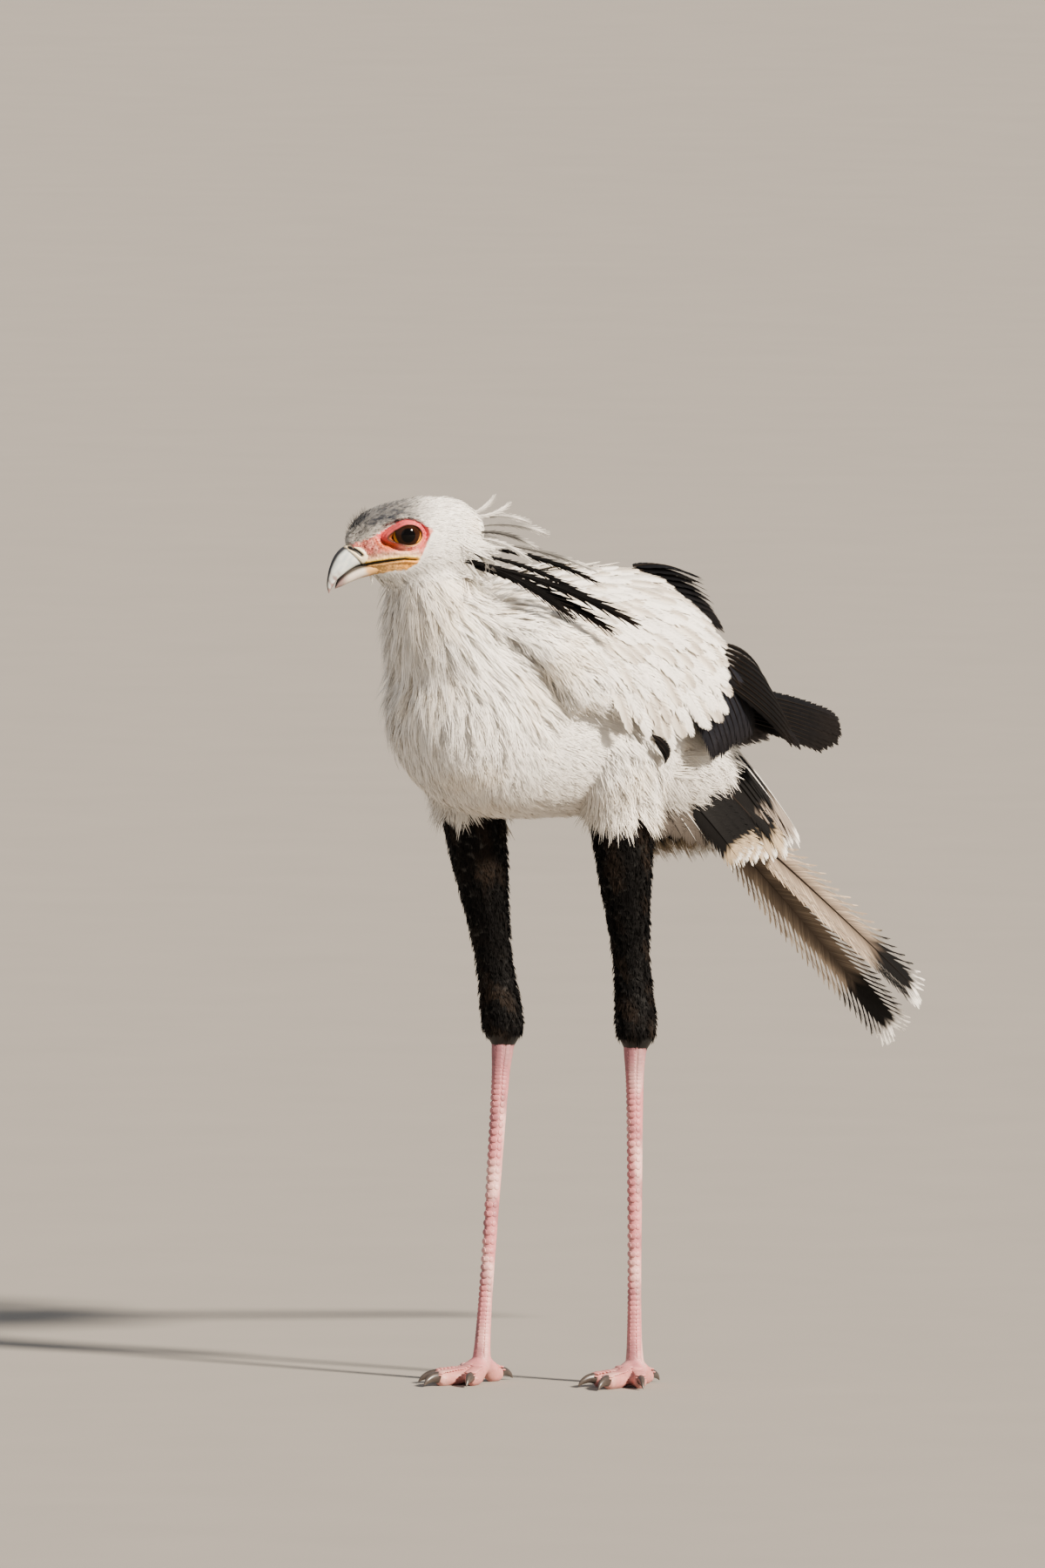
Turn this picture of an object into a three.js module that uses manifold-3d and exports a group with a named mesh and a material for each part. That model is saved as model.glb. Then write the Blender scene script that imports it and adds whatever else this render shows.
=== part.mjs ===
// A secretary bird standing still on both feet, life size, its neck drawn in and its head turned to its right.
// Millimetres, +Z up. The bird faces -Y, and its left side is +X. The origin is under the middle of its box,
// on the floor that it stands on.
import * as THREE from "three";
import { mergeVertices } from "three/addons/utils/BufferGeometryUtils.js";
import Module from "manifold-3d";

const wasm = await Module();
wasm.setup();

// Driving sizes
const GAP = 0.3; // between one part and the next
const BODY_WIDTH = 204;
const BODY_HEIGHT = 655; // the floor to the widest level of the breast
const TARSUS_LENGTH = 310;
const SOLE = 15; // the floor to the joint of the toes
const HEEL = SOLE + TARSUS_LENGTH;
const EYE_RADIUS = 14.5;
const EYE_APART = 38; // between the middles of the two eyeballs
const BILL_WIDTH = 24;
const WING_WIDTH = 252; // over both folded wings
const VANE_THICK = 0.7;
const HEAD_TURN = 38; // degrees to the bird's right
const HEAD_CENTRE = new THREE.Vector3(-3, -213, 822);

// Colours and finishes
const COLOURS = {
  white: 0xe9e5de,
  grey: 0xc9c9cb,
  black: 0x17161a,
  skin: 0xe06a45,
  horn: 0xb9c0bd,
  leg: 0xd79a96,
  claw: 0x3a3632,
  eye: 0x2a1508,
};
const material = (name, roughness = 0.8) =>
  new THREE.MeshStandardMaterial({ color: COLOURS[name], roughness, metalness: 0 });

const { lerp, clamp, degToRad, radToDeg } = THREE.MathUtils;
const vec = (x, y, z) => new THREE.Vector3(x, y, z);
const ACROSS = vec(1, 0, 0);
const UP = vec(0, 0, 1);

// Number tables and curves
function blend(a, b, c, d, t) {
  const slope0 = (c - a) / 2;
  const slope1 = (d - b) / 2;
  const t2 = t * t;
  const t3 = t2 * t;
  return (
    (2 * t3 - 3 * t2 + 1) * b + (t3 - 2 * t2 + t) * slope0 + (3 * t2 - 2 * t3) * c + (t3 - t2) * slope1
  );
}

// The row at a place between 0 and the last row, on a smooth curve through them all.
function rowAt(rows, at) {
  const last = rows.length - 1;
  const k = clamp(Math.floor(at), 0, last - 1);
  const row = (j) => rows[clamp(j, 0, last)];
  return rows[k].map((_, c) => blend(row(k - 1)[c], rows[k][c], row(k + 1)[c], row(k + 2)[c], at - k));
}

// The row whose first number is key: rows are in the order of that number.
function rowFor(rows, key) {
  let k = 0;
  while (k < rows.length - 2 && key > rows[k + 1][0]) k += 1;
  const share = clamp((key - rows[k][0]) / (rows[k + 1][0] - rows[k][0]), 0, 1);
  return rowAt(rows, k + share);
}

// Evenly spaced rows, drawn closer together towards both ends.
function resample(rows, count) {
  return Array.from({ length: count }, (_, i) => {
    const even = i / (count - 1);
    const eased = (1 - Math.cos(Math.PI * even)) / 2;
    return rowAt(rows, lerp(even, eased, 0.45) * (rows.length - 1));
  });
}

// The same draw of numbers between 0 and 1 on every run
function seeded(seed) {
  let state = seed;
  return () => {
    state = (state * 16807) % 2147483647;
    return state / 2147483647;
  };
}

// Closed surfaces
function closedGeometry(points, faces) {
  const volume = faces.reduce((sum, [a, b, c]) => {
    return sum + points[a].dot(new THREE.Vector3().crossVectors(points[b], points[c]));
  }, 0);
  const index = faces.flatMap(([a, b, c]) => (volume < 0 ? [a, c, b] : [a, b, c]));
  const geometry = new THREE.BufferGeometry().setFromPoints(points);
  return geometry.setIndex(index);
}

// A closed skin over rings. A ring is { at, side, up, wide, high, low }; the first and last are single points.
function loft(rings, sides, power = 2) {
  const points = [rings[0].at];
  const faces = [];
  const inner = rings.slice(1, -1);
  inner.forEach(({ at, side, up, wide, high, low }) => {
    for (let j = 0; j < sides; j += 1) {
      const angle = (2 * Math.PI * (j + 0.5)) / sides;
      const c = Math.cos(angle);
      const s = Math.sin(angle);
      const x = Math.sign(c) * Math.abs(c) ** (2 / power) * Math.max(wide, 0.2);
      const z = Math.sign(s) * Math.abs(s) ** (2 / power) * Math.max(s > 0 ? high : low, 0.2);
      points.push(at.clone().addScaledVector(side, x).addScaledVector(up, z));
    }
  });
  points.push(rings.at(-1).at);
  const at = (i, j) => 1 + i * sides + ((j + sides) % sides);
  for (let j = 0; j < sides; j += 1) {
    faces.push([0, at(0, j + 1), at(0, j)]);
    for (let i = 0; i < inner.length - 1; i += 1) {
      faces.push([at(i, j), at(i, j + 1), at(i + 1, j + 1)]);
      faces.push([at(i, j), at(i + 1, j + 1), at(i + 1, j)]);
    }
    faces.push([points.length - 1, at(inner.length - 1, j), at(inner.length - 1, j + 1)]);
  }
  return closedGeometry(points, faces);
}

// Rings along a bent line: rows are [x, y, z, half width, half height on the up side, on the down side].
// The rings stand square to the line, with their width along side.
function limbRings(rows, { count = 12, grow = 0, side = ACROSS } = {}) {
  const smooth = resample(rows, count);
  const spots = smooth.map(([x, y, z]) => vec(x, y, z));
  return smooth.map(([, , , wide, high, low], i) => {
    const before = spots[Math.max(i - 1, 0)];
    const after = spots[Math.min(i + 1, count - 1)];
    const along = after.clone().sub(before).normalize();
    const up = new THREE.Vector3().crossVectors(along, side).normalize();
    const across = new THREE.Vector3().crossVectors(up, along).normalize();
    const at = spots[i].clone();
    if (i === 0) at.addScaledVector(along, -grow);
    if (i === count - 1) at.addScaledVector(along, grow);
    return { at, side: across, up, wide: wide + grow, high: high + grow, low: low + grow };
  });
}

// A closed loft along a bent line
function limb(rows, { sides = 12, power = 2, ...options } = {}) {
  return loft(limbRings(rows, options), sides, power);
}

// Solids
function solid(geometry) {
  const bare = geometry.clone();
  bare.deleteAttribute("normal");
  bare.deleteAttribute("uv");
  const merged = mergeVertices(bare, 1e-3);
  return new wasm.Manifold(
    new wasm.Mesh({
      numProp: 3,
      vertProperties: merged.attributes.position.array,
      triVerts: new Uint32Array(merged.index.array),
    }),
  );
}

const union = (...solids) => wasm.Manifold.union(solids.flat(Infinity));
const cut = (body, ...tools) => body.subtract(union(tools));

// The largest closed body of a solid, as a geometry.
function largest(body) {
  const pieces = body.decompose();
  pieces.sort((a, b) => b.volume() - a.volume());
  const { vertProperties, triVerts, numProp } = pieces[0].getMesh();
  const position = new Float32Array((vertProperties.length / numProp) * 3);
  for (let i = 0; i < position.length / 3; i += 1) {
    position.set(vertProperties.subarray(i * numProp, i * numProp + 3), i * 3);
  }
  const geometry = new THREE.BufferGeometry();
  geometry.setAttribute("position", new THREE.BufferAttribute(position, 3));
  geometry.setIndex(new THREE.BufferAttribute(triVerts, 1));
  geometry.computeVertexNormals();
  return geometry;
}

// The faces of a blade: rings of points, columns across its top and then across its underside. The two sides are
// split into triangles alike.
function bladeFaces(rings, columns) {
  const at = (i, level, c) => (i * 2 + level) * columns + c;
  const faces = [];
  const quad = (a, b, c, d) => faces.push([a, b, c], [a, c, d]);
  const last = rings - 1;
  for (let i = 0; i < last; i += 1) {
    for (let c = 0; c < columns - 1; c += 1) {
      const corners = (level) => [at(i, level, c), at(i + 1, level, c), at(i + 1, level, c + 1), at(i, level, c + 1)];
      const [top, under] = [corners(0), corners(1)];
      quad(...top);
      faces.push([under[0], under[2], under[1]], [under[0], under[3], under[2]]);
    }
    const end = columns - 1;
    quad(at(i + 1, 0, 0), at(i, 0, 0), at(i, 1, 0), at(i + 1, 1, 0));
    quad(at(i, 0, end), at(i + 1, 0, end), at(i + 1, 1, end), at(i, 1, end));
  }
  for (let c = 0; c < columns - 1; c += 1) {
    quad(at(0, 0, c), at(0, 0, c + 1), at(0, 1, c + 1), at(0, 1, c));
    quad(at(last, 0, c + 1), at(last, 0, c), at(last, 1, c), at(last, 1, c + 1));
  }
  return faces;
}

// A flat tapered blade along a bent line, its broad side towards face: a vane, a plume or a lock. cup is how far
// its middle stands proud, per half width.
function blade(spots, widths, { face = UP, thick = VANE_THICK, cup = 0 } = {}) {
  const columns = cup === 0 ? [-1, 1] : [-1, 0, 1];
  const last = spots.length - 1;
  const points = [];
  spots.forEach((spot, i) => {
    const along = spots[Math.min(i + 1, last)].clone().sub(spots[Math.max(i - 1, 0)]).normalize();
    const across = new THREE.Vector3().crossVectors(face, along).normalize();
    const normal = new THREE.Vector3().crossVectors(along, across);
    for (const level of [thick / 2, -thick / 2]) {
      for (const c of columns) {
        const proud = level + cup * widths[i] * (1 - Math.abs(c));
        points.push(spot.clone().addScaledVector(across, c * widths[i]).addScaledVector(normal, proud));
      }
    }
  });
  return solid(closedGeometry(points, bladeFaces(spots.length, columns.length)));
}

function ellipsoid(centre, radii, grow = 0, widthSegments = 20, heightSegments = 12) {
  const ball = new THREE.SphereGeometry(1, widthSegments, heightSegments);
  ball.scale(radii.x + grow, radii.y + grow, radii.z + grow);
  ball.translate(centre.x, centre.y, centre.z);
  return solid(ball);
}

// Torso: [y, z, half width, height above z, depth below z]
const TORSO_POWER = 2.15; // how square its sections are, from 2 for an ellipse
const HALF = BODY_WIDTH / 2;
const TORSO = [
  [-207, BODY_HEIGHT - 2, 0, 0, 0],
  [-198, BODY_HEIGHT - 2, 0.36 * HALF, 42, 40],
  [-168, BODY_HEIGHT, 0.68 * HALF, 84, 82],
  [-112, BODY_HEIGHT, 0.88 * HALF, 108, 107],
  [-30, BODY_HEIGHT, 0.98 * HALF, 122, 115],
  [70, BODY_HEIGHT - 5, 0.97 * HALF, 116, 110],
  [150, BODY_HEIGHT - 24, 0.78 * HALF, 94, 96],
  [210, BODY_HEIGHT - 48, 0.53 * HALF, 58, 68],
  [246, BODY_HEIGHT - 64, 0.28 * HALF, 32, 38],
  [262, BODY_HEIGHT - 72, 0, 0, 0],
];

function torso(grow = 0) {
  const rings = resample(TORSO, 16).map(([y, z, wide, high, low], i, all) => {
    const shift = i === 0 ? -grow : i === all.length - 1 ? grow : 0;
    return {
      at: vec(0, y + shift, z),
      side: ACROSS,
      up: UP,
      wide: wide + grow,
      high: high + grow,
      low: low + grow,
    };
  });
  return solid(loft(rings, 22, TORSO_POWER));
}

// Whether a point is in the torso or closer to it than the clearance
function nearTorso({ x, y, z }, clearance) {
  const [front, back] = [TORSO[0][0], TORSO.at(-1)[0]];
  if (y < front - clearance || y > back + clearance) return false;
  const [, level, wide, high, low] = rowFor(TORSO, clamp(y, front, back));
  const tall = (z > level ? high : low) + clearance;
  const across = Math.abs(x / (wide + clearance)) ** TORSO_POWER;
  return across + Math.abs((z - level) / tall) ** TORSO_POWER < 1;
}

// Neck, from inside the breast to inside the head
const NECK = [
  [0, -140, 668, 40, 30, 36],
  [0, -152, 690, 58, 55, 50],
  [0, -172, 722, 55, 50, 46],
  [-1, -187, 756, 46, 42, 39],
  [-2, -195, 788, 37, 34, 32],
  [-3, -198, 808, 20, 20, 20],
];

const neckCore = (grow = 0) => solid(limb(NECK, { count: 10, sides: 16, grow }));
const NECK_RINGS = limbRings(NECK, { count: 26 });

// A point over the neck: share from its foot to its top, angle in degrees round it from the bird's left
// towards its breast, out above it.
function neckPoint(share, angle, out) {
  const at = clamp(share, 0, 1) * (NECK_RINGS.length - 1);
  const k = Math.min(Math.floor(at), NECK_RINGS.length - 2);
  const [a, b] = [NECK_RINGS[k], NECK_RINGS[k + 1]];
  const t = at - k;
  const c = Math.cos(degToRad(angle));
  const f = Math.sin(degToRad(angle));
  const place = ({ at: middle, side, up, wide, high, low }) => {
    return middle
      .clone()
      .addScaledVector(side, c * (wide + out))
      .addScaledVector(up, f * ((f > 0 ? high : low) + out));
  };
  return place(a).lerp(place(b), t);
}

// Hackles: long tapered locks that hang round the neck from the cheeks and throat down to the breast, in rows
const HACKLE_ROWS = [
  // share up the neck, locks round it, length, half width, how far the tip stands out
  [0.92, 7, 50, 10, 6],
  [0.77, 8, 60, 12, 9],
  [0.61, 8, 68, 14, 10],
  [0.45, 8, 72, 16, 10],
];
const HACKLE_SHAPE = [0.6, 1, 0.85, 0.5, 0.12]; // half width along a hackle
const HACKLE_SINK = 4; // how deep a root lies in the neck

function hackle([share, , length, wide, stand], angle, random) {
  const root = neckPoint(share, angle, -HACKLE_SINK);
  const outward = neckPoint(share, angle, 20).sub(neckPoint(share, angle, 0)).setZ(0).normalize();
  const sweep = new THREE.Vector3().crossVectors(outward, UP).multiplyScalar((random() - 0.5) * 0.3);
  const long = length * (0.85 + 0.3 * random());
  const bend = stand * (0.7 + 0.6 * random());
  const last = HACKLE_SHAPE.length - 1;
  const spots = HACKLE_SHAPE.map((_, i) => {
    const t = i / last;
    const below = neckPoint(share - 0.2 * t, angle, 0);
    const spread = below.sub(neckPoint(share, angle, 0)).dot(outward);
    const spot = root
      .clone()
      .addScaledVector(outward, Math.max(spread, 0) + bend * Math.sin(1.9 * t) + HACKLE_SINK * t)
      .addScaledVector(sweep, long * t)
      .addScaledVector(UP, -long * t);
    while (i > 1 && nearTorso(spot, 2.5 + 2 * (last - i))) spot.addScaledVector(outward, 1);
    return spot;
  });
  return blade(spots, HACKLE_SHAPE.map((w) => w * wide), { face: outward, thick: 1.2 });
}

function hackles() {
  const random = seeded(7);
  return HACKLE_ROWS.flatMap((row, r) => {
    return Array.from({ length: row[1] }, (_, i) => {
      const angle = (360 * (i + 0.5 * (r % 2) + 0.25 * (random() - 0.5))) / row[1];
      return hackle(row, angle, random);
    });
  });
}

// Head, in its own frame: forward along the bill, out to its left, and up, from the middle between the eyes
const turn = degToRad(HEAD_TURN);
const FORWARD = vec(-Math.sin(turn), -Math.cos(turn), 0);
const OUT_LEFT = new THREE.Vector3().crossVectors(UP, FORWARD);

function headPoint(forward, out, up) {
  return HEAD_CENTRE.clone()
    .addScaledVector(FORWARD, forward)
    .addScaledVector(OUT_LEFT, out)
    .addScaledVector(UP, up);
}

function headLimb(rows, options) {
  const placed = rows.map(([forward, up, wide, high, low]) => {
    const at = headPoint(forward, 0, up);
    return [at.x, at.y, at.z, wide, high, low];
  });
  return solid(limb(placed, { side: OUT_LEFT, ...options }));
}

// Profiles in the head's frame: [forward, up, half width, height over the line, depth under it]
const HEAD = [
  [-68, 8, 0, 0, 0],
  [-62, 8, 14, 15, 18],
  [-46, 6, 26, 32, 36],
  [-17, 2, 32, 40, 44],
  [6, 0, 31, 40, 43],
  [24, -3, 27, 39, 40],
  [40, -7, 21, 36, 35],
  [53, -12, 13, 27, 26],
  [59, -16, 7, 16, 16],
  [61, -17, 0, 0, 0],
];
const BILL = BILL_WIDTH / 2;
const UPPER_BILL = [
  [34, -16, 0.6 * BILL, 8, 8],
  [44, -16, BILL, 13, 13],
  [54, -18, 0.95 * BILL, 14.5, 14.5],
  [64, -23.5, 0.8 * BILL, 13.5, 13.5],
  [72, -31, 0.58 * BILL, 10, 10],
  [78, -39, 0.36 * BILL, 6, 6],
  [81, -46, 0.2 * BILL, 3.2, 3.4],
  [82, -53, 0, 0, 0],
];
const LOWER_BILL = [
  [2, -28.5, 0.5 * BILL, 2, 2],
  [12, -30, 0.95 * BILL, 3.5, 4.5],
  [28, -32.5, 0.9 * BILL, 4.5, 5.5],
  [44, -36.5, 0.76 * BILL, 4.5, 5],
  [57, -42, 0.52 * BILL, 3.5, 4],
  [67, -48, 0.26 * BILL, 2, 2],
  [72, -51.5, 0, 0, 0],
];

const head = (grow = 0) => headLimb(HEAD, { count: 12, sides: 18, grow });
const upperBill = (grow = 0) => headLimb(UPPER_BILL, { count: 11, sides: 12, grow });
const lowerBill = (grow = 0) => headLimb(LOWER_BILL, { count: 8, sides: 10, grow });

// The line of the mouth, behind the bill on each side: [forward, up, out]
const MOUTH = [
  [40, -29, 19],
  [24, -26, 24],
  [8, -23.5, 27],
  [-9, -23, 28.5],
];

function mouthLine(side) {
  const spots = MOUTH.map(([forward, up, out]) => headPoint(forward, side * out, up));
  return blade(spots, [5, 4.5, 4, 2.5], { face: UP, thick: 1.2 });
}

// The slit of a nostril in the horn's soft base
function nostril(side) {
  const spots = [
    [61, -12.5],
    [56, -14.5],
    [50, -18],
  ].map(([forward, up]) => headPoint(forward, side * 11.5, up));
  return blade(spots, [1.2, 2.2, 1.2], { face: UP, thick: 2.4 });
}

// The bare rim of the lids round an eye
const LID = { radius: 14, tube: 3, out: 28 };

function lids(side) {
  const ring = new THREE.TorusGeometry(LID.radius, LID.tube, 4, 14);
  ring.scale(1.08, 0.94, 1);
  const turned = new THREE.Matrix4().makeBasis(FORWARD, UP, new THREE.Vector3().crossVectors(FORWARD, UP));
  ring.applyMatrix4(turned.setPosition(headPoint(0, side * LID.out, 0)));
  return solid(ring);
}

function eyeball(side, grow = 0) {
  const centre = headPoint(0, (side * EYE_APART) / 2, 0);
  return ellipsoid(centre, vec(EYE_RADIUS, EYE_RADIUS, EYE_RADIUS), grow, 14, 8);
}

// The plumes of the crest, from the nape: [back and up of the tip in the head's frame, out at the root, out at
// the tip, half width]
const PLUME_ROOT = { forward: -46, up: -2 };
const PLUMES = [
  [-213, -84, 27, 34, 6.5],
  [-192, -91, 22, 20, 7],
  [-152, -78, 26, 30, 8],
  [-178, -44, 18, 16, 5],
  [-180, -34, 8, 6, 4],
  [-131, 2, 6, 8, 5],
  [-117, -10, 16, 20, 4],
  [-96, 33, 3, 3, 4],
  [-84, 40, -6, -8, 4],
  [-120, 12, -10, -14, 4],
];
const PLUME_SHAPE = [0.5, 0.55, 0.75, 1, 1, 0.3]; // half width along a plume

function plume([back, up, out, tipOut, wide], order) {
  const steps = PLUME_SHAPE.length - 1;
  const spots = PLUME_SHAPE.map((_, i) => {
    const t = i / steps;
    const rise = lerp(PLUME_ROOT.up - 1.6 * order, up, t) + 34 * t * (1 - t) * Math.sign(20 - up);
    return headPoint(lerp(PLUME_ROOT.forward, back, t), lerp(out * 0.75, tipOut, t), rise);
  });
  return blade(spots, PLUME_SHAPE.map((share) => share * wide), { face: OUT_LEFT, thick: 1 });
}

// Folded wings: [y, middle height, half width, height above, depth below], for each side
const WING = WING_WIDTH / 2;
const LEFT_WING = [
  [-176, 690, 0.66 * WING, 68, 85],
  [-120, 688, 0.86 * WING, 90, 106],
  [-50, 682, 0.97 * WING, 104, 122],
  [30, 674, WING, 114, 126],
  [110, 660, 0.96 * WING, 118, 112],
  [190, 643, 0.86 * WING, 88, 88],
  [270, 628, 0.7 * WING, 48, 58],
  [350, 616, 0.5 * WING, 22, 30],
  [430, 604, 0.34 * WING, 12, 16],
  [510, 596, 0.2 * WING, 6, 8],
];
const RIGHT_WING = [
  [-176, 690, 0.66 * WING, 68, 85],
  [-120, 688, 0.86 * WING, 90, 106],
  [-50, 682, 0.97 * WING, 104, 122],
  [30, 676, WING, 112, 128],
  [110, 668, 0.96 * WING, 116, 118],
  [190, 662, 0.86 * WING, 118, 98],
  [270, 656, 0.72 * WING, 118, 80],
  [350, 648, 0.54 * WING, 88, 54],
  [430, 632, 0.38 * WING, 46, 32],
  [510, 616, 0.24 * WING, 16, 14],
];
const wingRows = (side) => (side > 0 ? LEFT_WING : RIGHT_WING);

// A point over a folded wing: y along the body, angle in degrees down from the ridge of the back, out above it.
function wingPoint(side, y, angle, out) {
  const [, middle, wide, high, low] = rowFor(wingRows(side), y);
  const a = degToRad(angle);
  const c = Math.cos(a);
  const s = Math.abs(Math.sin(a)) ** 0.93;
  const tall = c > 0 ? high + out : low + out;
  return vec(side * (wide + out) * s, y, middle + Math.sign(c) * Math.abs(c) ** 0.93 * tall);
}

// A closed patch over a folded wing, from inner to outer, thinning out to its rim. Each edge is [front, back].
function wingPatch(side, { front, back, top, bottom, inner, outer, rows = 8, columns = 9 }) {
  const points = [];
  const faces = [];
  const layer = (level) => {
    for (let i = 0; i <= rows; i += 1) {
      for (let j = 0; j <= columns; j += 1) {
        const down = i / rows;
        const along = j / columns;
        const y = lerp(front(down), back(down), along);
        const angle = lerp(top(along), bottom(along), down);
        const rim = i === 0 || i === rows || j === 0 || j === columns;
        const middle = (inner + outer) / 2;
        points.push(wingPoint(side, y, angle, rim ? lerp(level, middle, 0.5) : level));
      }
    }
  };
  layer(outer);
  layer(inner);
  const size = (rows + 1) * (columns + 1);
  const at = (l, i, j) => l * size + i * (columns + 1) + j;
  for (let i = 0; i < rows; i += 1) {
    for (let j = 0; j < columns; j += 1) {
      faces.push([at(0, i, j), at(0, i + 1, j), at(0, i + 1, j + 1)]);
      faces.push([at(0, i, j), at(0, i + 1, j + 1), at(0, i, j + 1)]);
      faces.push([at(1, i, j), at(1, i + 1, j + 1), at(1, i + 1, j)]);
      faces.push([at(1, i, j), at(1, i, j + 1), at(1, i + 1, j + 1)]);
    }
  }
  const wall = (a, b) => {
    faces.push([at(0, ...a), at(0, ...b), at(1, ...b)]);
    faces.push([at(0, ...a), at(1, ...b), at(1, ...a)]);
  };
  for (let i = 0; i < rows; i += 1) {
    wall([i + 1, 0], [i, 0]);
    wall([i, columns], [i + 1, columns]);
  }
  for (let j = 0; j < columns; j += 1) {
    wall([0, j], [0, j + 1]);
    wall([rows, j + 1], [rows, j]);
  }
  return solid(closedGeometry(points, faces));
}

// A vane that lies over a folded wing. Its root is at y and angle, level above the wing's surface. droop turns it
// down from straight back, lift raises it towards its tip and roll raises its lower edge, all in degrees.
const VANE_SHAPE = [
  // share of the length, share of the half width
  [0, 0.5],
  [0.45, 1],
  [0.85, 0.86],
  [1, 0.3],
];

function wingVane(side, { y, angle, level, length, wide, droop, lift, roll, thick = VANE_THICK }) {
  const [back, down] = [Math.cos(degToRad(droop)), Math.sin(degToRad(droop))];
  const [rise, tilt] = [Math.tan(degToRad(lift)), Math.tan(degToRad(roll))];
  const place = (a, c, half) => {
    const at = y + a * back - c * down;
    const [, , w, high, low] = rowFor(wingRows(side), at);
    const round = radToDeg((a * down) / FAN_RADIUS + (2 * c * back) / (w + (high + low) / 2));
    return wingPoint(side, at, angle + round, level + a * rise + c * tilt + half);
  };
  const points = [];
  VANE_SHAPE.forEach(([share, w]) => {
    for (const half of [thick / 2, -thick / 2]) {
      points.push(place(share * length, -w * wide, half), place(share * length, w * wide, half));
    }
  });
  return solid(closedGeometry(points, bladeFaces(VANE_SHAPE.length, 2)));
}

// The vanes of a folded wing fan out from a point on the ridge over the shoulder: reach is the distance from it
// and fan the angle down from straight back, measured on the wing's surface.
const FAN_Y = -190;
const FAN_RADIUS = 115; // of the wing's sections, to turn a distance round them into an angle

function fanVane(side, { reach, fan, ...sizes }) {
  const round = reach * Math.sin(degToRad(fan));
  return wingVane(side, {
    y: FAN_Y + reach * Math.cos(degToRad(fan)),
    angle: radToDeg(round / FAN_RADIUS),
    droop: fan,
    ...sizes,
  });
}

// The white coverts and scapulars of a folded wing: a thin core, and tiers of vanes with their roots in it
const COVERT_TIERS = [
  // reach of the roots, first and last angle of the fan, vanes, length, half width
  [84, 19, 54, 3, 84, 21],
  [138, 11, 66, 5, 88, 22],
  [190, 8, 66, 6, 92, 23],
  [242, 7, 54, 6, 94, 24],
  [292, 6.5, 43, 6, 92, 23],
];

function coverts(side) {
  const random = seeded(side > 0 ? 11 : 23);
  const core = wingPatch(side, {
    front: (down) => -166 + 62 * down * down,
    back: (down) => lerp(166, 30, down ** 1.5),
    top: () => 14,
    bottom: () => 112,
    inner: -5,
    outer: 0,
    rows: 7,
    columns: 7,
  });
  const vanes = COVERT_TIERS.flatMap(([reach, first, last, count, length, wide]) => {
    return Array.from({ length: count }, (_, i) => {
      return fanVane(side, {
        reach: reach + 10 * (random() - 0.5),
        fan: lerp(first, last, i / (count - 1)),
        level: -2.4,
        length: length * (0.94 + 0.12 * random()),
        wide,
        lift: 6,
        roll: 3.5,
        thick: 0.8,
      });
    });
  });
  return union(core, vanes);
}

// The room that the front of a folded wing takes up, with its vanes
function wingFront(side) {
  return wingPatch(side, {
    front: (down) => -173 + 62 * down * down,
    back: () => -24,
    top: () => 4,
    bottom: () => 130,
    inner: -18,
    outer: 13,
    rows: 6,
    columns: 4,
  });
}

// The black flight feathers, in the order of the folded wing, with their roots in a thin core under the coverts
const SECONDARIES = { count: 4, first: 22, last: 41, reach: 306, length: 162, wide: 26 };
const TERTIALS = { count: 2, first: 32, last: 46, y: 176, wide: 18, droop: 9 };
const PRIMARIES = { count: 5, first: 68, last: 104, y: 206, wide: 17 };
const TERTIAL_LENGTHS = [150, 162];
const PRIMARY_LENGTHS = [200, 226, 240, 222, 172];
const FAR_WING = 0.84; // the right wing's long feathers end short of the left one's

function flightFeathers(side) {
  const random = seeded(side > 0 ? 31 : 47);
  const share = side > 0 ? 1 : FAR_WING;
  const core = wingPatch(side, {
    front: (down) => lerp(130, 10, down),
    back: (down) => lerp(208, 222, down),
    top: () => 32,
    bottom: (along) => lerp(116, 108, along),
    inner: -13.4,
    outer: -7.2,
    rows: 5,
    columns: 4,
  });
  const shared = { lift: 0.6, roll: 2.5, thick: 0.6 };
  const along = (row, i) => lerp(row.first, row.last, i / (row.count - 1));
  const secondaries = Array.from({ length: SECONDARIES.count }, (_, i) => {
    return fanVane(side, {
      ...shared,
      reach: SECONDARIES.reach,
      fan: along(SECONDARIES, i),
      level: -9.8,
      lift: 2,
      length: SECONDARIES.length * (0.97 + 0.06 * random()),
      wide: SECONDARIES.wide,
    });
  });
  const tertials = Array.from({ length: TERTIALS.count }, (_, i) => {
    return wingVane(side, {
      ...shared,
      y: TERTIALS.y,
      angle: along(TERTIALS, i),
      level: -10.4 + 0.9 * i,
      lift: 2,
      length: TERTIAL_LENGTHS[i],
      wide: TERTIALS.wide,
      droop: TERTIALS.droop,
    });
  });
  const primaries = Array.from({ length: PRIMARIES.count }, (_, i) => {
    return wingVane(side, {
      ...shared,
      y: PRIMARIES.y,
      angle: along(PRIMARIES, i),
      level: -12.6 + 0.9 * i,
      roll: 0.5,
      length: PRIMARY_LENGTHS[i] * share,
      wide: PRIMARIES.wide,
      droop: lerp(8, -10, i / (PRIMARIES.count - 1)),
    });
  });
  return union(core, secondaries, tertials, primaries);
}

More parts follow.
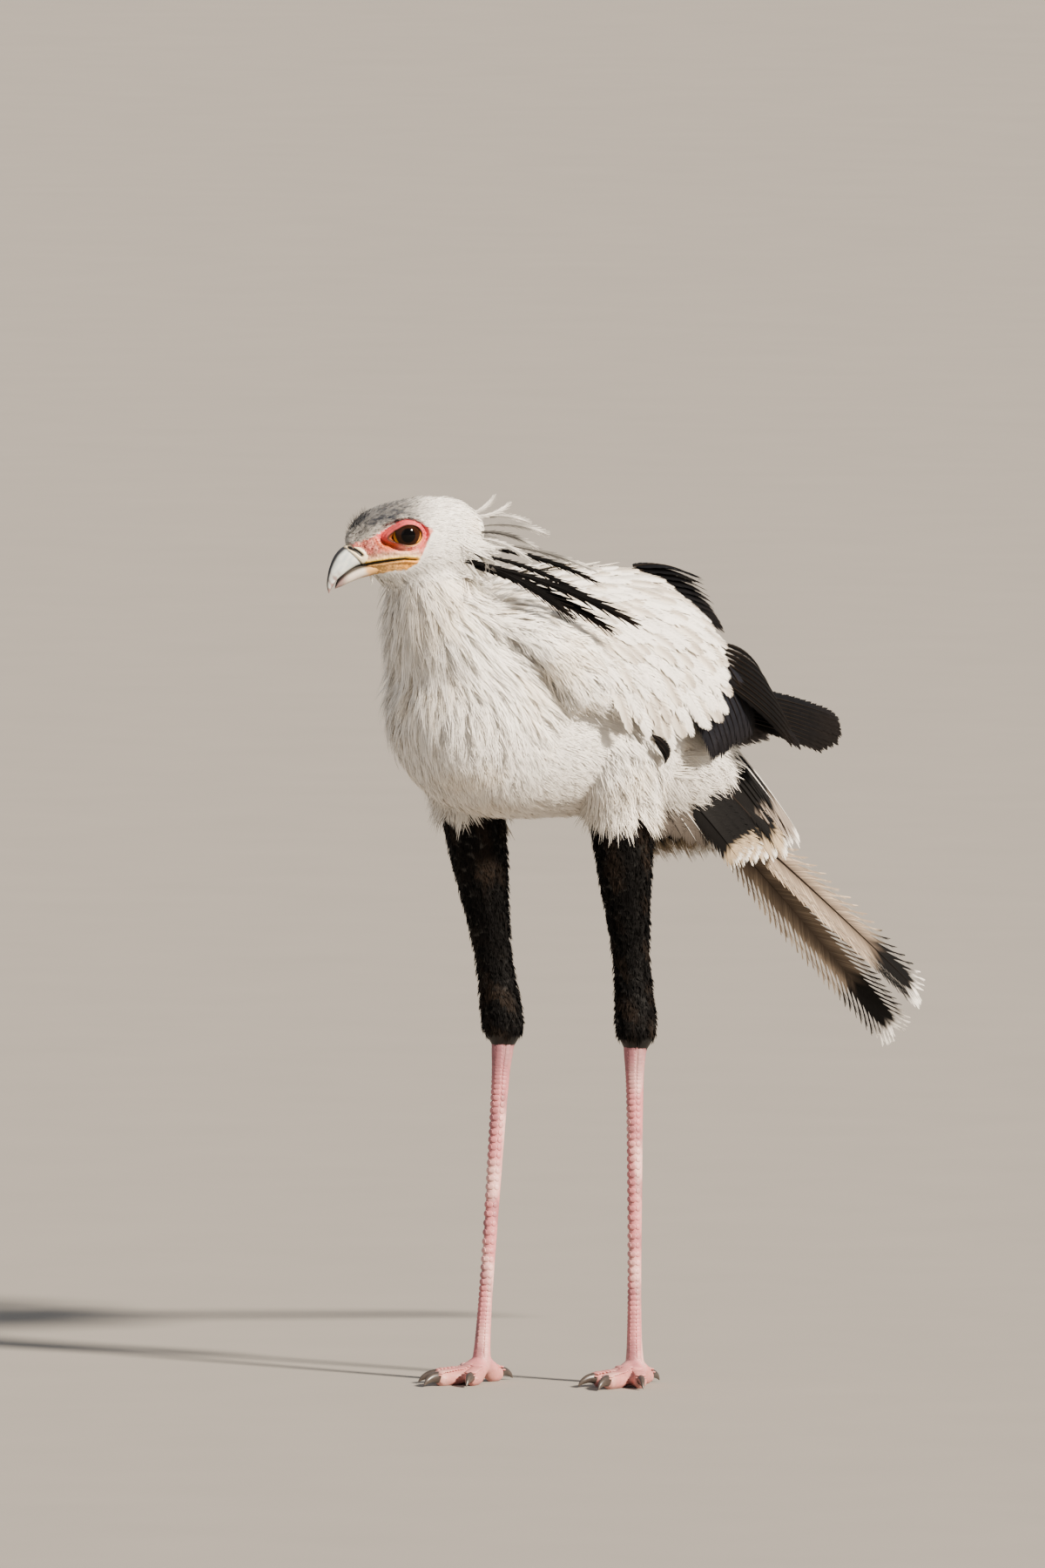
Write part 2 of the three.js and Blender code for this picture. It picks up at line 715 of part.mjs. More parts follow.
// Legs: joints for each side, and the half widths of the black feathering from the thigh to the heel
const LEGS = {
  left: { side: 1, thigh: vec(68, 29, 533), heel: vec(66, 53, HEEL), foot: vec(68, 50, SOLE) },
  right: { side: -1, thigh: vec(-68, -22, 533), heel: vec(-66, 20, HEEL), foot: vec(-68, -13, SOLE) },
};
const SHANK = [
  [-0.28, 0, 16, 18],
  [-0.12, -2, 30, 34],
  [0.12, 0, 29, 32],
  [0.35, 1, 24, 26],
  [0.6, 1, 20, 21],
  [0.82, 0, 19, 20],
  [0.95, 0, 19, 21],
  [1.03, -1, 15, 17],
  [1.05, -1, 10, 12],
];

function thigh({ thigh: top, side }, grow = 0) {
  const rows = [
    [top.x - side * 14, top.y - 20, 700, 0, 0, 0],
    [top.x - side * 10, top.y - 18, 690, 26, 34, 34],
    [top.x, top.y - 12, 645, 43, 62, 62],
    [top.x + side * 2, top.y - 6, 600, 43, 62, 60],
    [top.x + side, top.y - 2, 560, 37, 46, 46],
    [top.x, top.y, 534, 28, 33, 33],
    [top.x, top.y, 526, 0, 0, 0],
  ];
  return solid(limb(rows, { count: 10, sides: 14, grow }));
}

function shank({ thigh: top, heel }, grow = 0) {
  const rows = SHANK.map(([share, back, wide, deep]) => {
    const at = top.clone().lerp(heel, share);
    return [at.x, at.y + back, at.z, wide, deep, deep];
  });
  return solid(limb(rows, { count: 11, sides: 12, grow }));
}

const TARSUS = [
  [-0.07, 5, 6],
  [-0.04, 11, 13],
  [0.02, 11, 12.5],
  [0.12, 8.6, 10.5],
  [0.4, 7.6, 9],
  [0.75, 7, 8.2],
  [0.92, 8, 9],
  [1, 10, 10.5],
  [1.02, 7, 8],
];

function tarsus({ heel, foot }, grow = 0) {
  const rows = TARSUS.map(([share, wide, deep]) => {
    const at = heel.clone().lerp(foot, share);
    return [at.x, at.y, at.z, wide, deep, deep];
  });
  return solid(limb(rows, { count: 10, sides: 10, grow }));
}

// Toes: [name, turn in degrees from straight ahead towards the outside, length, half width]
const TOES = [
  ["inner", -32, 46, 8.5],
  ["middle", 0, 60, 9],
  ["outer", 34, 44, 8],
  ["hind", 176, 28, 8],
];
const FOOT_TURN = 9; // each foot is turned out by this much, in degrees

function toeFrame({ side, foot }, turned) {
  const angle = degToRad(side * (turned + FOOT_TURN));
  const along = vec(Math.sin(angle), -Math.cos(angle), 0);
  const across = vec(Math.cos(angle), Math.sin(angle), 0);
  return { along, across, at: (reach, z) => vec(foot.x, foot.y, 0).addScaledVector(along, reach).setZ(z) };
}

function toe(leg, [, turned, length, wide], grow = 0) {
  const { at, across } = toeFrame(leg, turned);
  const rows = [
    [-4, SOLE + 3, 0.6, 0.6],
    [4, SOLE + 1, 1, 1],
    [14, SOLE - 3, 1, 0.95],
    [0.45 * length, 8, 0.9, 0.98],
    [0.62 * length, 7.2, 0.96, 1],
    [0.8 * length, 7, 0.8, 0.92],
    [0.95 * length, 6.6, 0.8, 0.86],
    [length + 1, 6.4, 0.3, 0.3],
  ].map(([reach, z, w, h]) => {
    const p = at(reach, z);
    return [p.x, p.y, p.z, w * wide, h * 8, h * 8];
  });
  return solid(limb(rows, { count: 6, sides: 8, grow, side: across }));
}

function claw(leg, [, turned, length, wide], grow = 0) {
  const { at, across } = toeFrame(leg, turned);
  const rows = [
    [length - 6, 8, 0.3],
    [length - 2, 8.6, 0.62],
    [length + 6, 8.4, 0.5],
    [length + 13, 5.6, 0.32],
    [length + 17.5, 1.4, 0.06],
  ].map(([reach, z, w]) => {
    const p = at(reach, z);
    return [p.x, p.y, p.z, 0.8 * w * wide, w * wide, w * wide];
  });
  return solid(limb(rows, { count: 6, sides: 6, grow, side: across }));
}

const FLOOR_TOOL = new THREE.BoxGeometry(2000, 2000, 40).translate(0, 0, -20);

function foot(leg) {
  const pad = ellipsoid(vec(leg.foot.x, leg.foot.y - 3, SOLE - 5), vec(14, 15, 11), 0, 12, 6);
  const toes = TOES.map((t) => toe(leg, t));
  const claws = TOES.map((t) => claw(leg, t, GAP));
  return cut(union(pad, toes), tarsus(leg, GAP), claws, solid(FLOOR_TOOL));
}

// Tail: white coverts over the root, and the folded roof of its feathers with the two long ones in the middle
const TAIL_ROOT = [
  [0, 190, 606, 20, 20, 20],
  [0, 206, 594, 46, 36, 50],
  [1, 232, 576, 44, 30, 44],
  [2, 258, 560, 34, 22, 34],
  [3, 278, 546, 20, 10, 18],
  [4, 290, 538, 6, 3, 4],
];
const tailCore = (grow = 0) => solid(limb(TAIL_ROOT, { count: 10, sides: 16, grow }));

const TAIL_SIDE = 4; // feathers down each side of the roof
const TAIL_SHAPE = [0.5, 0.85, 1, 1, 0.85, 0.3]; // half width along a tail feather

function tailFeather(side, k, random) {
  const t = k / (TAIL_SIDE - 1);
  const root = vec(side * lerp(15, 24, t), 232, lerp(586, 550, t));
  const tip = vec(side * lerp(18, 38, t), lerp(376, 322, t), lerp(516, 480, t) + 6 * (random() - 0.5));
  const bow = vec(side * 7, 0, 4);
  const spots = TAIL_SHAPE.map((_, i) => {
    const u = i / (TAIL_SHAPE.length - 1);
    return root.clone().lerp(tip, u).addScaledVector(bow, 4 * u * (1 - u));
  });
  const slope = degToRad(lerp(42, 74, t));
  const face = vec(side * Math.sin(slope), 0.3, Math.cos(slope));
  return blade(spots, TAIL_SHAPE.map((w) => w * lerp(20, 17, t)), { face, thick: 0.7 });
}

// The long feathers: x, y and z of the tips
const LONG_TIPS = [vec(24, 577, 345), vec(-12, 590, 304)];

function longTailFeather(tip, order) {
  const root = vec(order === 0 ? 6 : -6, 240, order === 0 ? 558 : 553);
  const spots = [0, 0.12, 0.3, 0.5, 0.7, 0.88, 0.97, 1].map((t) => {
    return root.clone().lerp(tip, t).add(vec(0, 0, 14 * t * (1 - t)));
  });
  const widths = [6, 10, 16, 18, 18, 16, 9, 3];
  return blade(spots, widths, { face: vec(order === 0 ? 0.35 : -0.3, 0.45, 0.8), thick: 0.9, cup: -0.12 });
}

function tail() {
  const random = seeded(5);
  const sides = [1, -1].flatMap((side) => {
    return Array.from({ length: TAIL_SIDE }, (_, k) => tailFeather(side, k, random));
  });
  return union(tailCore(), sides);
}

// The parts
const bird = new THREE.Group();
function add(name, body, finish) {
  const mesh = new THREE.Mesh(largest(body), finish);
  mesh.name = name;
  bird.add(mesh);
}

const white = material("white", 0.9);
const grey = material("grey", 0.85);
const black = material("black", 0.7);
const skin = material("skin", 0.6);
const horn = material("horn", 0.4);
const pink = material("leg", 0.6);
const dark = material("claw", 0.4);

const torsoCut = torso(GAP);
const legCuts = Object.values(LEGS).flatMap((leg) => [thigh(leg, GAP), shank(leg, GAP)]);
const headCut = union(head(GAP), upperBill(GAP), lowerBill(GAP));
const eyeCuts = [1, -1].map((side) => eyeball(side, GAP));

const torsoBody = torso();
const neckCut = union(torsoCut, headCut);

add("torso", torsoBody, white);
add("neck", cut(union(neckCore(), hackles()), neckCut, ...[1, -1].map((side) => wingFront(side))), white);
const lidded = union(head(), [1, -1].map(lids));
const face = cut(lidded, upperBill(GAP), lowerBill(GAP), eyeCuts, [1, -1].map(mouthLine));
add("head", union(face, PLUMES.map(plume)), grey);
add("bill_upper", cut(upperBill(), eyeCuts, [1, -1].map(nostril)), horn);
add("bill_lower", cut(lowerBill(), upperBill(GAP)), horn);
for (const [name, side] of [
  ["left", 1],
  ["right", -1],
]) {
  add("eye_" + name, eyeball(side), material("eye", 0.1));
  add("wing_coverts_" + name, cut(coverts(side), torsoCut, legCuts), grey);
  add("wing_flight_" + name, cut(flightFeathers(side), torsoCut, legCuts, tailCore(GAP)), black);
  const leg = LEGS[name];
  add("thigh_" + name, cut(thigh(leg), torsoCut, shank(leg, GAP)), white);
  add("shank_" + name, cut(shank(leg), torsoCut, tarsus(leg, GAP)), black);
  add("tarsus_" + name, tarsus(leg), pink);
  add("foot_" + name, foot(leg), pink);
  TOES.forEach((t) => {
    add("claw_" + t[0] + "_" + name, cut(claw(leg, t), solid(FLOOR_TOOL)), dark);
  });
}
add("tail", cut(tail(), torsoCut), white);
LONG_TIPS.forEach((tip, i) => {
  add("tail_long_" + ["left", "right"][i], cut(longTailFeather(tip, i), tailCore(GAP), torsoCut), white);
});

// The origin under the middle of the box, on the floor
const box = new THREE.Box3().setFromObject(bird);
const middle = box.getCenter(new THREE.Vector3());
bird.position.set(-middle.x, -middle.y, -box.min.z);

export default bird;
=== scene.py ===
"""A secretary bird as a still museum model: one skin, its plumage, and its bill, eyes, legs and claws.

Sizes in the tables are millimetres in the bird's own frame, in which it faces -Y, its left is +X and the
floor is at 0. place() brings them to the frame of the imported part, in metres.
"""
import logging
import math
from collections.abc import Callable
from dataclasses import dataclass, field
from enum import Enum
from typing import Any

import bmesh
import bpy
import numpy as np
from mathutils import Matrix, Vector
from mathutils.bvhtree import BVHTree


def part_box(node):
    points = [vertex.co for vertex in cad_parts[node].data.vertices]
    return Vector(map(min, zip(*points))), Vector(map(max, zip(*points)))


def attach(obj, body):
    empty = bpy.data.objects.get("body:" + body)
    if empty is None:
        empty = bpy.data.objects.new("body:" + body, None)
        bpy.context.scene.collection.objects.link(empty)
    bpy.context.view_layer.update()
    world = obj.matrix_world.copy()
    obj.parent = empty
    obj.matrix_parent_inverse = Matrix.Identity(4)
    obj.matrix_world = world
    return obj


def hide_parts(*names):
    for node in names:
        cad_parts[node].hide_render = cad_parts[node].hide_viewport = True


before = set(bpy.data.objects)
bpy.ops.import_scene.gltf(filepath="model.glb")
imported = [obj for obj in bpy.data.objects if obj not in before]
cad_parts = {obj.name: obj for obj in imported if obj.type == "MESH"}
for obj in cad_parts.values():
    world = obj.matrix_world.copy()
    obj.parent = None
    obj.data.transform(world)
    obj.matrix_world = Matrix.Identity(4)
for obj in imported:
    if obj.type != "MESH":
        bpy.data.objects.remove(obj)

Array = np.ndarray
Place = tuple[float, float, float]

log = logging.getLogger("secretary_bird")

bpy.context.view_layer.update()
MM = 0.001
UP = np.array((0.0, 0.0, 1.0))
ACROSS = np.array((1.0, 0.0, 0.0))

BODY_HALF = 102.0
BODY_FRONT = -207.0
SOLE = 15.0
HEEL = SOLE + 310.0
EYE_RADIUS = 16.5
EYE_FORWARD, EYE_OUT, EYE_UP = 11.5, 15.0, 5.1
# How much longer than high the eye's opening is, ahead of its middle and behind it
EYE_LONG = (1.75, 1.2)
BILL = 12.0
WING_HALF = 126.0
# How square the wing's sections are, as the power of their sine and cosine
WING_SQUARE = 0.93
# The least half width and height of a section, so that no two of its points fall together
THINNEST = 0.2
HEAD_TURN = math.radians(38)
HEAD_CENTRE = np.array((-3.0, -213.0, 822.0))
FORWARD = np.array((-math.sin(HEAD_TURN), -math.cos(HEAD_TURN), 0.0))
OUT_LEFT = np.cross(UP, FORWARD)


def bird_origin() -> Array:
    """The place of the bird's own origin in the frame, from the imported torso."""
    low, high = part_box("torso")
    return np.array(((low.x + high.x) / 2, low.y - BODY_FRONT * MM, 0.0))


ORIGIN = bird_origin()


def place(points: Array) -> Array:
    """Millimetres in the bird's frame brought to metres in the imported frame."""
    return np.asarray(points, float) * MM + ORIGIN


def unplace(points: Array) -> Array:
    """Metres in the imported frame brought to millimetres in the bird's frame."""
    return (np.asarray(points, float) - ORIGIN) / MM


def head_point(forward: Array, out: Array, up: Array) -> Array:
    """A place in the head's frame, in millimetres of the bird's frame."""
    parts = [np.asarray(v, float)[..., None] for v in (forward, out, up)]
    return HEAD_CENTRE + parts[0] * FORWARD + parts[1] * OUT_LEFT + parts[2] * UP


def head_frame(points: Array) -> tuple[Array, Array, Array]:
    """How far forward, out to the left and up from the head's centre points in the bird's frame are."""
    away = points - HEAD_CENTRE
    return away @ FORWARD, away @ OUT_LEFT, away @ UP


def unit(vectors: Array) -> Array:
    """The vectors at length one."""
    return vectors / np.maximum(np.linalg.norm(vectors, axis=-1, keepdims=True), 1e-12)


def ease(low: float, high: float, value: Array) -> Array:
    """A smooth step from 0 where value is at low to 1 where it is at high."""
    t = np.clip((np.asarray(value, float) - low) / (high - low), 0, 1)
    return t * t * (3 - 2 * t)


def mix(a: Any, b: Any, share: Any) -> Any:
    """The value a given share of the way from a to b."""
    return a + (b - a) * share


def linear(code: str) -> Array:
    """An sRGB hex colour as linear red, green and blue."""
    channels = np.array([int(code[i : i + 2], 16) / 255 for i in (1, 3, 5)])
    return np.where(channels <= 0.04045, channels / 12.92, ((channels + 0.055) / 1.055) ** 2.4)


def eye_distance(forward: Array, up: Array) -> Array:
    """How far from the eye's middle a place is, measured shorter along the drawn-out front corner."""
    ahead = forward - EYE_FORWARD
    return np.hypot(ahead / np.where(ahead > 0, *EYE_LONG), up - EYE_UP)


def ripple(points: Array, wavelength: float, seed: int) -> Array:
    """A smooth random pattern between about -1 and 1.

    Args:
        points: Places, in the units of the wavelength.
        wavelength: The size of its patches.
        seed: Which pattern.

    Returns:
        One value for each place.
    """
    rng = np.random.default_rng(seed)
    total = np.zeros(points.shape[:-1])
    for _ in range(7):
        direction = unit(rng.normal(size=3)) * rng.uniform(0.7, 1.5)
        total += np.sin(points @ direction * math.tau / wavelength + rng.uniform(0, math.tau))
    return total / 3.2


def smooth_rows(rows: Array, at: Array) -> Array:
    """Rows read off a smooth curve through a table's rows.

    Args:
        rows: The table.
        at: Places between 0 and the last row.

    Returns:
        The row at each place.
    """
    last = len(rows) - 1
    k = np.clip(np.floor(at).astype(int), 0, last - 1)
    t = (at - k)[..., None]
    a, b, c, d = (rows[np.clip(k + j, 0, last)] for j in (-1, 0, 1, 2))
    start = (2 * t**3 - 3 * t**2 + 1) * b + (t**3 - 2 * t**2 + t) * (c - a) / 2
    return start + (3 * t**2 - 2 * t**3) * c + (t**3 - t**2) * (d - b) / 2


def rows_for(rows: Array, key: Array) -> Array:
    """The rows whose first number is key, on the same smooth curve.

    Args:
        rows: A table in the order of its first number.
        key: The first numbers wanted.

    Returns:
        The row for each key.
    """
    k = np.clip(np.searchsorted(rows[:, 0], key) - 1, 0, len(rows) - 2)
    share = np.clip((key - rows[k, 0]) / (rows[k + 1, 0] - rows[k, 0]), 0, 1)
    return smooth_rows(rows, k + share)


def node(tree: bpy.types.NodeTree, kind: str, inputs: dict | None = None, **settings: Any) -> bpy.types.Node:
    """Adds a node with its settings, values and links.

    Args:
        tree: The tree it goes into.
        kind: Its type name.
        inputs: A value, or another node's output, for each input's name or number.
        settings: Its properties.

    Returns:
        The node.
    """
    made = tree.nodes.new(kind)
    for name, value in settings.items():
        setattr(made, name, value)
    for name, value in (inputs or {}).items():
        socket = made.inputs[name]
        if isinstance(value, bpy.types.NodeSocket):
            tree.links.new(value, socket)
        else:
            socket.default_value = value
    return made


@dataclass(frozen=True)
class Finish:
    """A surface that takes its colour from its mesh's markings, with grain and relief of its own.

    Attributes:
        name: The real material.
        roughness: Of its gloss.
        grain: The size of the mottling, in metres.
        mottle: How far the mottling darkens.
        relief_size: The size of the relief, in metres.
        relief: The depth of the relief, in metres.
        barbs: Whether the relief runs in fine lines along each feather's barbs.
        sheen: Soft light at its edges.
        coat: Its clear wet layer.
        subsurface: How much light it lets through.
        ior: Its index of refraction.
    """

    name: str
    roughness: float
    grain: float = 0.012
    mottle: float = 0.12
    relief_size: float = 0.0012
    relief: float = 0.0001
    barbs: bool = False
    sheen: float = 0.0
    coat: float = 0.0
    subsurface: float = 0.0
    ior: float = 1.5

    def build(self) -> bpy.types.Material:
        """The material of this finish, made once."""
        if self.name in bpy.data.materials:
            return bpy.data.materials[self.name]
        material = bpy.data.materials.new(self.name)
        material.use_nodes = True
        tree = material.node_tree
        tree.nodes.clear()
        places = node(tree, "ShaderNodeTexCoord").outputs["Object"]
        markings = node(tree, "ShaderNodeAttribute", attribute_name="Markings").outputs["Color"]
        fine = {"Vector": places, "Scale": 1 / self.grain, "Detail": 4.0, "Roughness": 0.6}
        grain = node(tree, "ShaderNodeTexNoise", fine).outputs[0]
        span = {"From Min": 0.3, "From Max": 0.7, "To Min": 1 - self.mottle, "To Max": 1.0}
        shade = node(tree, "ShaderNodeMapRange", {"Value": grain, **span}).outputs[0]
        both = {"Factor": 1.0, 6: markings, 7: shade}
        colour = node(tree, "ShaderNodeMix", both, data_type="RGBA", blend_type="MULTIPLY")
        if self.barbs:
            strand = node(tree, "ShaderNodeUVMap", uv_map="Vane").outputs[0]
            scale = 0.05 / self.relief_size * 6.28
            wave = {"Vector": strand, "Scale": scale, "Distortion": 0.6, "Detail": 1.0}
            lines = node(tree, "ShaderNodeTexWave", wave, bands_direction="X").outputs[1]
        else:
            rough = {"Vector": places, "Scale": 1 / self.relief_size, "Detail": 3.0, "Roughness": 0.6}
            lines = node(tree, "ShaderNodeTexNoise", rough).outputs[0]
        relief = {"Height": lines, "Strength": 0.6, "Distance": self.relief}
        shader = node(tree, "ShaderNodeBsdfPrincipled", {
            "Base Color": colour.outputs[2],
            "Roughness": self.roughness,
            "IOR": self.ior,
            "Normal": node(tree, "ShaderNodeBump", relief).outputs[0],
            "Sheen Weight": self.sheen,
            "Sheen Roughness": 0.5,
            "Coat Weight": self.coat,
            "Coat Roughness": 0.08,
            "Subsurface Weight": self.subsurface,
            "Subsurface Scale": 0.003,
        })
        node(tree, "ShaderNodeOutputMaterial", {"Surface": shader.outputs[0]})
        return material


# Soft contour feathers: matt keratin that scatters light through its loose barbs
WHITE_PLUMAGE = Finish("white_feather_keratin", 0.75, 0.02, 0.1, 0.0008, 0.00012, True, sheen=0.15)
# Coverts: closed vanes, so a little smoother, with the barbs showing as fine lines
GREY_PLUMAGE = Finish("grey_feather_keratin", 0.6, 0.025, 0.12, 0.0007, 0.00012, True, ior=1.25)
# Flight feathers and plumes: keratin full of dark pigment, with a dull satin gloss
BLACK_PLUMAGE = Finish("black_feather_keratin", 0.5, 0.015, 0.35, 0.0007, 0.0001, True, ior=1.16)
# Bare skin of the face and under the coat: thin, moist and finely wrinkled
FACE_SKIN = Finish("living_skin", 0.45, 0.004, 0.18, 0.0009, 0.0003, subsurface=0.12, ior=1.4)
# Horn of the bill: dense keratin with a waxy gloss
BILL_HORN = Finish("bill_horn", 0.42, 0.006, 0.12, 0.0008, 0.00008, subsurface=0.05, coat=0.12)
# Claws: hard worn keratin
CLAW_HORN = Finish("claw_horn", 0.35, 0.003, 0.4, 0.0005, 0.00008)
# Scutes of the legs: thick dry keratin plates
LEG_SCUTE = Finish("leg_scute_keratin", 0.5, 0.005, 0.16, 0.0008, 0.00012, subsurface=0.05, ior=1.45)
# The cornea over the iris: wet and clear
EYE_GLASS = Finish("wet_cornea", 0.06, 0.002, 0.25, 0.001, 0.0, coat=0.08, ior=1.2)


@dataclass
class MeshData:
    """Points with quads and the values that go with each point."""

    points: Array
    quads: Array
    colours: Array
    vane: Array | None = None
    bake: Array | None = None
    normals: Array | None = None

    @staticmethod
    def shaped(*values: Array) -> "MeshData":
        """Mesh data from grids of its values, in the order of the fields."""
        return MeshData(*(v.reshape(-1, v.shape[-1]) for v in values))

    @staticmethod
    def joined(parts: list["MeshData"]) -> "MeshData":
        """Several of them as one.

        Args:
            parts: Mesh data with the same optional values set.

        Returns:
            All of their points and quads together.
        """
        starts = np.cumsum([0] + [len(p.points) for p in parts[:-1]])
        whole = {"quads": np.concatenate([p.quads + start for p, start in zip(parts, starts)])}
        for name in ("points", "colours", "vane", "bake", "normals"):
            values = [getattr(p, name) for p in parts]
            whole[name] = None if values[0] is None else np.concatenate(values)
        return MeshData(**whole)

    def build(self, name: str, finish: Finish) -> bpy.types.Object:
        """An object of this mesh.

        Args:
            name: The piece's name.
            finish: Its surface.

        Returns:
            The object, in the scene.
        """
        mesh = bpy.data.meshes.new(name)
        count = len(self.quads)
        mesh.vertices.add(len(self.points))
        mesh.vertices.foreach_set("co", self.points.astype(np.float32).ravel())
        mesh.loops.add(4 * count)
        mesh.loops.foreach_set("vertex_index", self.quads.astype(np.int32).ravel())
        mesh.polygons.add(count)
        mesh.polygons.foreach_set("loop_start", np.arange(count, dtype=np.int32) * 4)
        mesh.update(calc_edges=True)
        corners = self.quads.ravel()
        for layer, values in (("OFBake", self.bake), ("Vane", self.vane)):
            if values is not None:
                uv = mesh.uv_layers.new(name=layer)
                uv.data.foreach_set("uv", values[corners].astype(np.float32).ravel())
        paint(mesh, self.colours)
        mesh.polygons.foreach_set("use_smooth", np.ones(count, bool))
        if self.normals is not None:
            mesh.normals_split_custom_set_from_vertices(self.normals.tolist())
        mesh.materials.append(finish.build())
        piece = bpy.data.objects.new(name, mesh)
        bpy.context.scene.collection.objects.link(piece)
        log.info("%s: %d triangles", name, 2 * count)
        return piece


def paint(mesh: bpy.types.Mesh, colours: Array) -> None:
    """Sets the markings of a mesh, one linear colour for each point."""
    layer = mesh.color_attributes.new("Markings", "FLOAT_COLOR", "POINT")
    values = np.concatenate([colours, np.ones((len(colours), 1))], axis=1)
    layer.data.foreach_set("color", values.astype(np.float32).ravel())


def values_of(items: Any, name: str, width: int, kind: type = float) -> Array:
    """One value of each of a mesh's vertices, edges or triangles, as a row of numbers for each."""
    values = np.empty(len(items) * width, kind)
    items.foreach_get(name, values)
    return values.reshape(-1, width)


def spaced(count: int, level: float) -> Array:
    """Places side by side at one level of the bake map."""
    return np.stack([(np.arange(count) + 0.5) / count, np.full(count, level)], axis=-1)


def settle(piece: bpy.types.Object, slot: str, *nodes: str) -> None:
    """Lets a piece ride on the bird, and hides the nodes that it stands for."""
    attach(piece, "root")
    if nodes:
        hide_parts(*nodes)


def grid_quads(rows: int, columns: int, around: bool = False) -> Array:
    """The quads of a grid of points, closed round its columns if asked."""
    i, j = np.meshgrid(np.arange(rows - 1), np.arange(columns if around else columns - 1), indexing="ij")
    after = (j + 1) % columns
    corners = [i * columns + j, i * columns + after, (i + 1) * columns + after, (i + 1) * columns + j]
    return np.stack(corners, axis=-1).reshape(-1, 4)


@dataclass
class Loft:
    """A rounded body over a bent line.

    Attributes:
        rows: [x, y, z, half width, height above, depth below] in the bird's frame.
        across: The direction of its width.
        power: How square its sections are, from 2 for an ellipse.
        upright: Whether its sections stand square to the body's length instead of to its own line.
        rings: How many sections it is worked out at.
    """

    rows: Array
    across: Array = field(default_factory=lambda: ACROSS)
    power: float = 2.0
    upright: bool = False
    rings: int = 60

    def __post_init__(self) -> None:
        """Works out its sections."""
        table = smooth_rows(np.asarray(self.rows, float), np.linspace(0, len(self.rows) - 1, self.rings))
        self.middle = table[:, :3]
        self.sizes = table[:, 3:]
        along = unit(np.gradient(self.middle, axis=0))
        if self.upright:
            along = np.broadcast_to(np.array((0.0, 1.0, 0.0)), along.shape)
        self.up = unit(np.cross(along, self.across)) * (-1 if self.upright else 1)
        self.side = unit(np.cross(self.up, along)) * (-1 if self.upright else 1)

    def points(self, share: Array, turn: Array, out: Array | float = 0.0) -> Array:
        """Places on its surface.

        Args:
            share: How far along it, from 0 to 1.
            turn: How far round it, from 0 to 1, from its across side.
            out: How far above the surface.

        Returns:
            The places, in millimetres.
        """
        at = np.clip(share, 0, 1) * (self.rings - 1)
        k = np.clip(np.floor(at).astype(int), 0, self.rings - 2)
        t = (at - k)[..., None]
        middle, sizes, up, side = (
            mix(v[k], v[k + 1], t) for v in (self.middle, self.sizes, self.up, self.side)
        )
        c, s = np.cos(math.tau * turn), np.sin(math.tau * turn)
        tall = np.where(s > 0, sizes[..., 1], sizes[..., 2])
        x = np.sign(c) * np.abs(c) ** (2 / self.power) * np.maximum(sizes[..., 0] + out, THINNEST)
        z = np.sign(s) * np.abs(s) ** (2 / self.power) * np.maximum(tall + out, THINNEST)
        return middle + side * x[..., None] + up * z[..., None]

    def grid(self, sides: int) -> list[Array]:
        """How far along and round it the points of its sections are."""
        return np.meshgrid(np.linspace(0, 1, self.rings), np.arange(sides) / sides, indexing="ij")

    def shell(self, out: float = 0.0, sides: int = 48) -> tuple[Array, list[list[int]]]:
        """Its closed surface, as points in millimetres and faces."""
        points = self.points(*self.grid(sides), out).reshape(-1, 3)
        faces = grid_quads(self.rings, sides, around=True).tolist()
        faces.append(list(range(sides))[::-1])
        faces.append(list(range((self.rings - 1) * sides, self.rings * sides)))
        return points, faces


# The body's lines
TORSO_ROWS = np.array([
    [0, -207, 653, 0, 0, 0],
    [0, -198, 653, 0.36 * BODY_HALF, 42, 40],
    [0, -168, 655, 0.68 * BODY_HALF, 84, 82],
    [0, -112, 655, 0.88 * BODY_HALF, 108, 107],
    [0, -30, 655, 0.98 * BODY_HALF, 122, 115],
    [0, 70, 650, 0.97 * BODY_HALF, 116, 110],
    [0, 150, 631, 0.78 * BODY_HALF, 94, 96],
    [0, 210, 607, 0.53 * BODY_HALF, 58, 68],
    [0, 246, 591, 0.28 * BODY_HALF, 32, 38],
    [0, 262, 583, 0, 0, 0],
])
NECK_ROWS = np.array([
    [0, -140, 668, 40, 30, 36],
    [0, -152, 690, 58, 55, 50],
    [0, -172, 722, 55, 50, 46],
    [-1, -187, 756, 46, 42, 39],
    [-2, -195, 788, 37, 34, 32],
    [-3, -198, 808, 20, 20, 20],
])
HEAD_ROWS = np.array([
    [-68, 8, 0, 0, 0],
    [-62, 8, 14, 15, 18],
    [-46, 6, 26, 32, 36],
    [-17, 2, 32, 40, 44],
    [6, 0, 31, 40, 43],
    [24, -3, 27, 39, 40],
    [40, -7, 21, 36, 35],
    [53, -12, 13, 27, 26],
    [59, -16, 7, 16, 16],
    [61, -17, 0, 0, 0],
])
UPPER_BILL_ROWS = np.array([
    [38, -13, 0.7 * BILL, 8, 8],
    [50, -13.5, BILL, 11, 10.5],
    [60, -16.5, 0.96 * BILL, 13, 10],
    [68, -22, 0.8 * BILL, 12, 9],
    [75, -29.5, 0.58 * BILL, 8.4, 7],
    [79.5, -37, 0.36 * BILL, 5.2, 4.2],
    [82, -44, 0.2 * BILL, 2.9, 2.4],
    [83, -51, 0, 0, 0],
])
